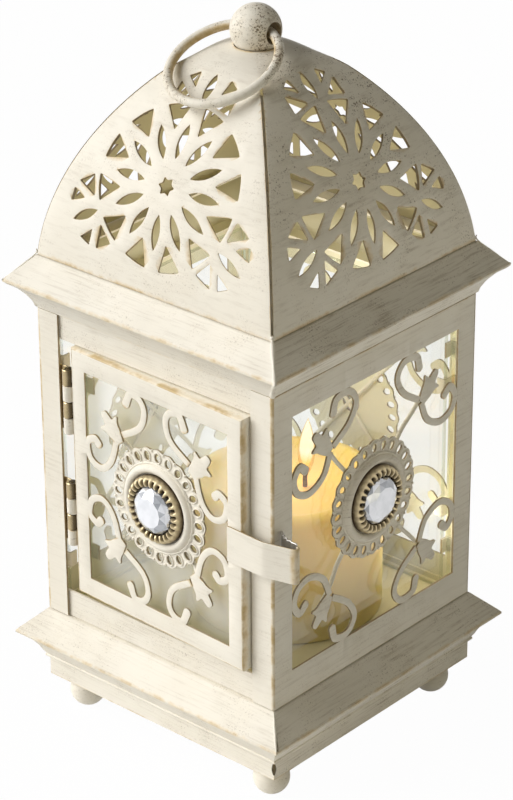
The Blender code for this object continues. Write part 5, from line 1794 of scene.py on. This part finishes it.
def drilled(target, cutter):
    """Cuts one piece with another, which is removed."""
    step = target.modifiers.new("cut", "BOOLEAN")
    step.operation = "DIFFERENCE"
    step.solver = "EXACT"
    step.object = cutter
    bpy.context.view_layer.update()
    graph = bpy.context.evaluated_depsgraph_get()
    mesh = bpy.data.meshes.new_from_object(target.evaluated_get(graph))
    old = target.data
    target.modifiers.clear()
    target.data = mesh
    bpy.data.meshes.remove(old)
    bpy.data.objects.remove(cutter)


def loop_points(number, size, count):
    """Points round one of a medallion's loops, in the medallion's plane."""
    turn = 2 * math.pi * number / LOOPS
    out = Vector((math.sin(turn), math.cos(turn)))
    side = Vector((out.y, -out.x))
    points = []
    for k in range(count):
        angle = 2 * math.pi * k / count
        points.append(out * (LOOP_AT + size[0] * math.cos(angle)) + side * size[1] * math.sin(angle))
    return points


def medallion(name, node, at, body):
    """A cast ring of small loops round a smooth raised rim."""
    work = blank()
    place = at @ Matrix.Translation((0, 0, -MEDALLION_FRONT))
    web_outer = []
    for i in range(LOOPS * 8):
        turn = 2 * math.pi * i / (LOOPS * 8)
        radius = MEDALLION_RADIUS - 0.0005 + SCALLOP * math.cos(LOOPS * turn)
        web_outer.append((radius * math.sin(turn), radius * math.cos(turn)))
    holes = [anticlockwise([tuple(p) for p in loop_points(i, LOOP_HOLE, 14)]) for i in range(LOOPS)]
    turns = [math.pi * k / 12 for k in range(24)]
    eye = [(EYE_RADIUS * math.cos(turn), EYE_RADIUS * math.sin(turn)) for turn in turns]
    web = filled([(anticlockwise(web_outer), holes + [eye])], [])
    sheet(work, web, SHEET, lambda x, y, depth: place @ Vector((x, y, -depth)))
    worn = work.verts.layers.float["wear"]
    for vertex in work.verts:
        vertex[worn] *= 0.2
    for i in range(LOOPS):
        loop = [place @ p.to_3d() for p in loop_points(i, LOOP_WIRE, 18)]
        tube(work, loop, LOOP_WIRE_RADIUS, 8, closed=True, rub=0.05)
        between = 2 * math.pi * i / LOOPS + math.pi / LOOPS
        spot = Vector((math.sin(between), math.cos(between), 0)) * (MEDALLION_RADIUS - 0.0011)
        turned(work, CAST_BEAD, 8, place @ Matrix.Translation(spot))
    turned(work, CAST_RIM, FINE, place)
    return piece(name, work, "paint_plain", body, [node], 50, outward=False)


def setting(name, node, at, body):
    """A turned ring with a raised border, a groove painted near-black as tarnish and painted shade together,
    and a crown of claws round the crystal.
    """
    work = blank()
    place = at @ Matrix.Translation((0, 0, GAP - MEDALLION_FRONT))

    def notch(radius, turn):
        """How deep the crown is cut there: nothing on a claw, most between two claws beside the crystal."""
        between = 0.5 - 0.5 * math.cos(CLAWS * turn)
        inward = held((0.955 - radius / CLAW_RADIUS) / 0.11)
        return held(between * 2.1 - 0.5) * inward

    def crown(radius, height, turn):
        """Makes the claws stand out and cuts the notches between them."""
        knob = CLAW_KNOB * math.cos(CLAWS * turn) if height > 0.4 * CLAW_HEIGHT else 0.0
        return radius + knob, height - CLAW_NOTCH * notch(radius, turn)

    line = smooth_points([(out * CLAW_RADIUS, up * CLAW_HEIGHT) for out, up in CROWN], 2)
    turned(work, [(p.x, p.y, 0.0) for p in line], CLAWS * 8, place, crown)
    worn = work.verts.layers.float["wear"]
    back = place.inverted()
    for vertex in work.verts:
        spot = back @ vertex.co
        radius = math.hypot(spot.x, spot.y)
        # The wear mark rises with height and falls in the notches: pale gilt on the claws, near-black low down
        # and between them, tarnish and painted shade together
        raised = held(spot.z / CLAW_HEIGHT * 1.5 - 0.2)
        vertex[worn] = raised * (0.85 - 1.2 * notch(radius, math.atan2(spot.y, spot.x)))
    return piece(name, work, "antique_gilt", body, [node], 60, outward=False)


def crystal(name, node, at, body):
    """A flat-backed cut stone: a girdle, two rows of crown facets and a table."""
    work = blank()
    place = at @ Matrix.Translation((0, 0, GAP - MEDALLION_FRONT))
    bottom = SHEET + GAP
    top = CRYSTAL_RISE + MEDALLION_FRONT - GAP
    rows = (
        (CRYSTAL_RADIUS, bottom, 0.0),
        (CRYSTAL_RADIUS, bottom + CRYSTAL_GIRDLE, 0.0),
        (CRYSTAL_RADIUS * CRYSTAL_BREAK[0], bottom + CRYSTAL_BREAK[1], 0.5),
        (CRYSTAL_RADIUS * CRYSTAL_TABLE, top, 0.0),
    )
    facet = work.faces.layers.float.new("facet")
    rings = []
    for radius, height, shift in rows:
        ring = []
        for k in range(CRYSTAL_SIDES):
            turn = 2 * math.pi * (k + shift) / CRYSTAL_SIDES
            spot = Vector((radius * math.cos(turn), radius * math.sin(turn), height))
            ring.append(work.verts.new(place @ spot))
        rings.append(ring)

    def cut_face(verts, number):
        """A facet whose lightness, a painted reflection, goes with its number."""
        work.faces.new(verts)[facet] = 0.62 + 0.42 * math.sin(number * 2.39 + 0.6)

    for k in range(CRYSTAL_SIDES):
        j = (k + 1) % CRYSTAL_SIDES
        cut_face((rings[0][k], rings[0][j], rings[1][j], rings[1][k]), k)
        cut_face((rings[1][k], rings[1][j], rings[2][k]), k + 3)
        cut_face((rings[1][j], rings[2][j], rings[2][k]), k * 2 + 5)
        cut_face((rings[2][k], rings[2][j], rings[3][j]), k * 3 + 1)
        cut_face((rings[2][k], rings[3][j], rings[3][k]), k * 5 + 2)
    work.faces.new(rings[3])[facet] = 0.95
    work.faces.new(rings[0][::-1])[facet] = 0.5
    return piece(name, work, "cut_glass", body, [node], sharp=0)


def wires(name, node, at, body, leaf_at):
    """Two wires behind a medallion, whose ends rise to the back of the four leaves."""
    reach = math.hypot(*leaf_at) - MEDALLION_RADIUS
    inner = MEDALLION_RADIUS + WIRE_SLOPE_FROM * reach
    outer = MEDALLION_RADIUS + WIRE_SLOPE_TO * reach
    work = blank()
    for sign, deep in ((-1, WIRE_DEEP), (1, WIRE_DEEP + 0.0001)):
        end = Vector((sign * leaf_at[0], leaf_at[1]))
        along = end.normalized()
        half = []
        for k in range(17):
            share = k / 16
            radius = end.length * (1 - share)
            rise = eased((radius - inner) / (outer - inner))
            half.append((along * radius).to_3d() + Vector((0, 0, -deep + (deep - WIRE_DEPTH) * rise)))
        line = half + [Vector((-p.x, -p.y, p.z)) for p in half[-2::-1]]
        tube(work, [at @ p for p in line], WIRE_RADIUS, 14, rub=0.3)
    return piece(name, work, "paint_plain", body, [node], 60)


def ornaments():
    """On each of the four sides: two wires, a medallion, its setting and its crystal."""
    window = (BODY_HALF - SIDE_STILE, (BODY_HEIGHT - SIDE_RAIL_TOP - SIDE_RAIL_BOTTOM) / 2)
    middle = BODY_BOTTOM + SIDE_RAIL_BOTTOM + window[1]
    side_leaf = (window[0] - SIDE_LEAF[0], window[1] - SIDE_LEAF[1])
    door_leaf = (
        DOOR_WIDTH / 2 - DOOR_STILE - DOOR_LEAF[0], DOOR_HEIGHT / 2 - DOOR_RAIL - DOOR_LEAF[1],
    )
    places = [
        ("right", facing(0, BODY_HALF, middle), "lantern", side_leaf),
        ("left", facing(math.pi, BODY_HALF, middle), "lantern", side_leaf),
        ("back", facing(math.pi / 2, BACK_HALF, middle), "lantern", side_leaf),
        ("door", DOOR_PANEL @ Matrix.Translation((0, DOOR_HEIGHT / 2, 0)), "door", door_leaf),
    ]
    for side, at, body, leaf_at in places:
        wires(side + "_wires", side + "_wire_cross", at, body, leaf_at)
        medallion(side + "_cast_medallion", side + "_medallion", at, body)
        setting(side + "_claw_setting", side + "_setting", at, body)
        crystal(side + "_cut_crystal", side + "_crystal", at, body)


def pane(name, node, at, low, high, body, finish="pane_glass"):
    """A glass pane with ground edges, between two corners of its panel's plane."""
    work = blank()
    cut = work.faces.layers.float["cut"]
    outline = rounded(rectangle(low, high), GLASS_CORNER, 3)
    middle = ((low[0] + high[0]) / 2, (low[1] + high[1]) / 2)
    half = ((high[0] - low[0]) / 2, (high[1] - low[1]) / 2)
    rings = []
    for inset, depth in (
        (GLASS_BEVEL, GLASS_FRONT), (0.0, GLASS_FRONT + GLASS_BEVEL),
        (0.0, GLASS_BACK - GLASS_BEVEL), (GLASS_BEVEL, GLASS_BACK),
    ):
        ring = []
        for x, y in outline:
            scale_x, scale_y = 1 - inset / half[0], 1 - inset / half[1]
            spot = (middle[0] + (x - middle[0]) * scale_x, middle[1] + (y - middle[1]) * scale_y, -depth)
            ring.append(work.verts.new(at @ Vector(spot)))
        rings.append(ring)
    count = len(outline)
    for a, b in zip(rings, rings[1:]):
        for k in range(count):
            j = (k + 1) % count
            work.faces.new((a[k], a[j], b[j], b[k]))[cut] = 1.0
    work.faces.new(rings[0])
    work.faces.new(rings[-1][::-1])
    return piece(name, work, finish, body, [node], 20)


def panes():
    """The three fixed panes and the door's hazy one."""
    window_half = BODY_HALF - SIDE_STILE
    top = BODY_HEIGHT - GLASS_BELOW_EAVE
    for side, angle, reach, lap in (
        ("right", 0, BODY_HALF, GLASS_LAP),
        ("left", 180, BODY_HALF, GLASS_LAP),
        ("back", 90, BACK_HALF, BACK_GLASS_LAP),
    ):
        half = window_half + lap
        at = facing(math.radians(angle), reach, BODY_BOTTOM)
        pane(side + "_pane", "glass_" + side, at, (-half, SHEET + GAP), (half, top), "lantern")
    half = DOOR_WIDTH / 2 - SHEET - GAP
    top = DOOR_HEIGHT - SHEET - GAP
    pane("door_pane", "door_glass", DOOR_PANEL, (-half, SHEET + GAP), (half, top), "door", "hazy_glass")


def candle():
    """A pillar candle with a melted pool, its leaning wick and a still flame."""
    low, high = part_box("candle")
    bottom, top = low.z, high.z
    pool = top - POOL_DEPTH
    profile = [(0.0, pool, 0.0), (0.012, pool, 0.0), (0.022, pool + 0.0002, 0.0)]
    profile += [(0.0262, pool + 0.0007, 0.0), (0.0282, pool + 0.0018, 0.0), (0.0296, top - 0.0004, 0.0)]
    shoulder = (CANDLE_RADIUS - WAX_SHOULDER, top - WAX_SHOULDER)
    profile += [(r, z, 0.0) for r, z in arc(shoulder, WAX_SHOULDER, 96, 0, 12)]
    profile += [(CANDLE_RADIUS, top - 0.01 * k, 0.0) for k in range(1, 5)]
    foot_round = 0.0006
    profile += [(CANDLE_RADIUS, bottom + foot_round, 0.0), (CANDLE_RADIUS - foot_round, bottom, 0.0)]
    profile.append((0.0, bottom, 0.0))

    def melted(radius, height, turn):
        """Lets the rim sag unevenly."""
        if radius > 0.027 and height > top - 0.007:
            height -= 0.0005 * (0.5 + 0.5 * math.sin(3 * turn + 0.8)) + 0.0002 * (1 + math.sin(7 * turn))
        return radius, height

    work = blank()
    turned(work, profile, 128, Matrix.Translation((*CANDLE_AT, 0)), melted)
    piece("pillar_candle", work, "candle_wax", "lantern", ["candle"], 50)

    foot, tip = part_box("wick")
    work = blank()
    x, y = WICK_AT
    height = tip.z - foot.z
    guide = [(x, y, foot.z), (x, y, foot.z + height * 0.5), (x + WICK_LEAN * 0.5, y, foot.z + height * 0.8)]
    guide.append((x + WICK_LEAN, y, tip.z - 0.0002))
    line = smooth_points(guide, 5)
    tube(work, line, [WICK_RADIUS * (1.0 - 0.25 * i / 15) for i in range(len(line))], 12)
    worn = work.verts.layers.float["wear"]
    for vertex in work.verts:
        vertex[worn] = max(0.0, (vertex.co.z - tip.z + 0.002) / 0.002)
    piece("burnt_cotton_wick", work, "burnt_wick", "lantern", ["wick"], 60)
    flame(Vector((x + WICK_LEAN * 0.3, y, foot.z + height * 0.55)))


def flame(foot):
    """A teardrop of light round the wick: a white core in an amber edge."""
    values = settings("candle")
    for name, finish, wide, low, high in (
        ("still_flame", "flame_edge", 1.0, 0.0, 1.0), ("flame_core", "flame_core", 0.80, 0.14, 0.96),
    ):
        work = blank()
        worn = work.verts.layers.float["wear"]
        length = values.flame_height * (high - low)
        profile = [(0.0, 0.0, 0.0)]
        for k in range(1, 28):
            share = k / 28
            radius = math.sin(math.pi * share ** 0.85) ** 0.9 * (1 - 0.15 * share)
            profile.append((values.flame_width / 2 * wide * radius, length * share, share))
        profile.append((0.0, length, 1.0))
        turned(work, profile, 32, Matrix.Translation(foot + Vector((0, 0, values.flame_height * low))))
        for vertex in work.verts:
            share = (vertex.co.z - foot.z) / values.flame_height
            vertex[worn] = share
            vertex.co.x += FLAME_LEAN * share * share
        piece(name, work, finish, "lantern", sharp=0)


def dress(finish, *nodes):
    """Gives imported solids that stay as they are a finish."""
    for node in nodes:
        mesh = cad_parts[node].data
        mesh.materials.clear()
        mesh.materials.append(finished(finish))


class LANTERN_OT_base(bpy.types.Operator):
    """Builds the base moulding and the ball feet"""

    bl_idname = "lantern.base"
    bl_label = "Base and feet"
    bl_options = {"REGISTER", "UNDO"}

    def execute(self, context):
        base_moulding()
        mitre_seams()
        ball_feet()
        dress("paint_floor", "floor_pan")
        return {"FINISHED"}


class LANTERN_OT_body(bpy.types.Operator):
    """Builds the side and back sheets with their fretwork"""

    bl_idname = "lantern.body"
    bl_label = "Side sheets"
    bl_options = {"REGISTER", "UNDO"}

    def execute(self, context):
        side_sheets()
        dress("paint_across", "front_sill", "front_lintel")
        return {"FINISHED"}


class LANTERN_OT_roof(bpy.types.Operator):
    """Builds the eave, the pierced dome and its solder"""

    bl_idname = "lantern.roof"
    bl_label = "Eave and dome"
    bl_options = {"REGISTER", "UNDO"}

    def execute(self, context):
        eave_moulding()
        pierced_dome()
        ridge_linings()
        solder_drips()
        return {"FINISHED"}


class LANTERN_OT_finial(bpy.types.Operator):
    """Builds the bored ball and the carry ring"""

    bl_idname = "lantern.finial"
    bl_label = "Ball and ring"
    bl_options = {"REGISTER", "UNDO"}

    def execute(self, context):
        finial()
        return {"FINISHED"}


class LANTERN_OT_door(bpy.types.Operator):
    """Builds the door tray, its hinges and its latch"""

    bl_idname = "lantern.door"
    bl_label = "Door"
    bl_options = {"REGISTER", "UNDO"}

    def execute(self, context):
        door_tray()
        door_hinges()
        latch()
        return {"FINISHED"}


class LANTERN_OT_ornaments(bpy.types.Operator):
    """Builds the wires, medallions, settings and crystals of the four sides"""

    bl_idname = "lantern.ornaments"
    bl_label = "Medallions"
    bl_options = {"REGISTER", "UNDO"}

    def execute(self, context):
        ornaments()
        return {"FINISHED"}


class LANTERN_OT_panes(bpy.types.Operator):
    """Builds the four glass panes"""

    bl_idname = "lantern.panes"
    bl_label = "Panes"
    bl_options = {"REGISTER", "UNDO"}

    def execute(self, context):
        panes()
        return {"FINISHED"}


class LANTERN_OT_candle(bpy.types.Operator):
    """Builds the candle, its wick and its flame"""

    bl_idname = "lantern.candle"
    bl_label = "Candle"
    bl_options = {"REGISTER", "UNDO"}

    def execute(self, context):
        candle()
        return {"FINISHED"}


class LANTERN_OT_studio(bpy.types.Operator):
    """Sets up the floor, the lamps, the background and the camera"""

    bl_idname = "lantern.studio"
    bl_label = "Studio"
    bl_options = {"REGISTER", "UNDO"}

    def execute(self, context):
        values = settings("studio")
        floor()
        background(values.sky)
        sun("key_light", KEY_FROM, values.key, KEY_SPREAD, (1.0, 0.99, 0.97))
        sun("fill_light", FILL_FROM, values.fill, FILL_SPREAD, (1.0, 0.90, 0.59))
        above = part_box("wick")[1].z + INNER_LAMP_ABOVE_WICK
        inner_lamp("candle_light", values.candle, (*CANDLE_AT, above))
        for name, (x, y, share) in FLOOR_LAMPS.items():
            inner_lamp(name, values.candle * share, (x, y, BODY_BOTTOM + FLOOR_LAMP_RISE))
        camera()
        return {"FINISHED"}


def sun(name, direction, strength, spread, colour):
    """A soft lamp that shines from a direction."""
    lamp = bpy.data.lights.new(name, "SUN")
    lamp.energy = strength
    lamp.angle = math.radians(spread)
    lamp.color = colour
    added(name, lamp).rotation_euler = Vector(direction).to_track_quat("Z", "Y").to_euler()


def inner_lamp(name, power, spot):
    """A small warm lamp inside the lantern that shows in no mirror."""
    lamp = bpy.data.lights.new(name, "POINT")
    lamp.energy = power
    lamp.color = (1.0, 0.96, 0.86)
    lamp.shadow_soft_size = 0.012
    made = added(name, lamp)
    made.location = spot
    made.visible_glossy = False


def floor():
    """A wide pale floor that looks white to the camera and keeps the lantern's shadow."""
    work = bmesh.new()
    reach, rings = 3.0, 24
    middle = work.verts.new((0, 0, 0))
    before = None
    for k in range(1, rings + 1):
        radius = reach * (k / rings) ** 2
        ring = [work.verts.new((radius * math.cos(t), radius * math.sin(t), 0))
                for t in (2 * math.pi * i / 48 for i in range(48))]
        for i in range(48):
            j = (i + 1) % 48
            if before is None:
                work.faces.new((middle, ring[i], ring[j]))
            else:
                work.faces.new((before[i], ring[i], ring[j], before[j]))
        before = ring
    mesh = bpy.data.meshes.new("studio_floor")
    work.to_mesh(mesh)
    work.free()
    made = added("studio_floor", mesh)
    ground = Surface("studio_floor")
    ground.set(Base_Color=(0.92, 0.92, 0.91), Roughness=0.9, Specular_IOR_Level=0.1)
    white = ground.add("ShaderNodeEmission", {}, {"Color": (1.0, 1.0, 1.0)})
    ground.cover(1.0 - ground.seen() * FLOOR_WHITENESS, white)
    mesh.materials.append(ground.material)


def background(sky):
    """White to the camera and in mirrors; as a light it is plain and soft."""
    world = bpy.data.worlds.new("studio")
    bpy.context.scene.world = world
    world.use_nodes = True
    world.node_tree.nodes.clear()
    nodes = Nodes(world.node_tree)
    lamp = nodes.add("ShaderNodeBackground", {}, {"Color": (1.0, 0.93, 0.78), "Strength": sky})
    white = nodes.add("ShaderNodeBackground", {}, {"Color": (1.0, 1.0, 1.0)})
    nodes.add("ShaderNodeOutputWorld", {}, {"Surface": nodes.blend(nodes.seen(), lamp, white)})


def camera():
    """The photograph's viewpoint."""
    back = Vector((
        math.sin(CAMERA_AZIMUTH) * math.cos(CAMERA_ELEVATION),
        -math.cos(CAMERA_AZIMUTH) * math.cos(CAMERA_ELEVATION),
        math.sin(CAMERA_ELEVATION),
    ))
    level = Vector((math.cos(CAMERA_AZIMUTH), math.sin(CAMERA_AZIMUTH), 0))
    upright = back.cross(level)
    right = level * math.cos(CAMERA_ROLL) + upright * math.sin(CAMERA_ROLL)
    up = upright * math.cos(CAMERA_ROLL) - level * math.sin(CAMERA_ROLL)
    width = 2 * BODY_HALF
    lens = bpy.data.cameras.new("camera")
    lens.sensor_width = SENSOR
    lens.lens = FOCAL_PIXELS * SENSOR / IMAGE_HEIGHT
    lens.clip_start = 0.05
    made = added("camera", lens)
    spot = (right * CAMERA_ACROSS + up * CAMERA_UP + back * CAMERA_DISTANCE) * width
    made.matrix_world = (
        Matrix.Translation(spot + Vector((0, 0, BODY_BOTTOM)))
        @ Matrix((right, up, back)).transposed().to_4x4()
    )
    bpy.context.scene.camera = made
    bpy.context.scene.view_settings.view_transform = "Standard"


STEPS = (
    LANTERN_OT_base,
    LANTERN_OT_body,
    LANTERN_OT_roof,
    LANTERN_OT_finial,
    LANTERN_OT_door,
    LANTERN_OT_ornaments,
    LANTERN_OT_panes,
    LANTERN_OT_candle,
    LANTERN_OT_studio,
)
GROUPS = {
    "paint": PaintSettings,
    "metal": MetalSettings,
    "glass": GlassSettings,
    "candle": CandleSettings,
    "studio": StudioSettings,
}


class LANTERN_PT_looks(bpy.types.Panel):
    """Lists the lantern's settings and the steps that build it"""

    bl_idname = "LANTERN_PT_looks"
    bl_label = "Lantern"
    bl_space_type = "VIEW_3D"
    bl_region_type = "UI"
    bl_category = "Lantern"

    def draw(self, context):
        for group, kind in GROUPS.items():
            box = self.layout.box()
            box.label(text=group.capitalize())
            for name in kind.__annotations__:
                box.prop(settings(group), name)
        for step in STEPS:
            self.layout.operator(step.bl_idname)


def register():
    """Makes the settings, the steps and the panel known."""
    for kind in (*GROUPS.values(), *STEPS, LANTERN_PT_looks):
        bpy.utils.register_class(kind)
    for group, kind in GROUPS.items():
        setattr(bpy.types.Scene, "lantern_" + group, PointerProperty(type=kind))


def unregister():
    """Takes them away again."""
    for group in GROUPS:
        delattr(bpy.types.Scene, "lantern_" + group)
    for kind in reversed((*GROUPS.values(), *STEPS, LANTERN_PT_looks)):
        bpy.utils.unregister_class(kind)


def main():
    """Builds the whole lantern."""
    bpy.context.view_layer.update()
    register()
    for step in STEPS:
        group, name = step.bl_idname.split(".")
        getattr(getattr(bpy.ops, group), name)()


if __name__ == "__main__":
    main()
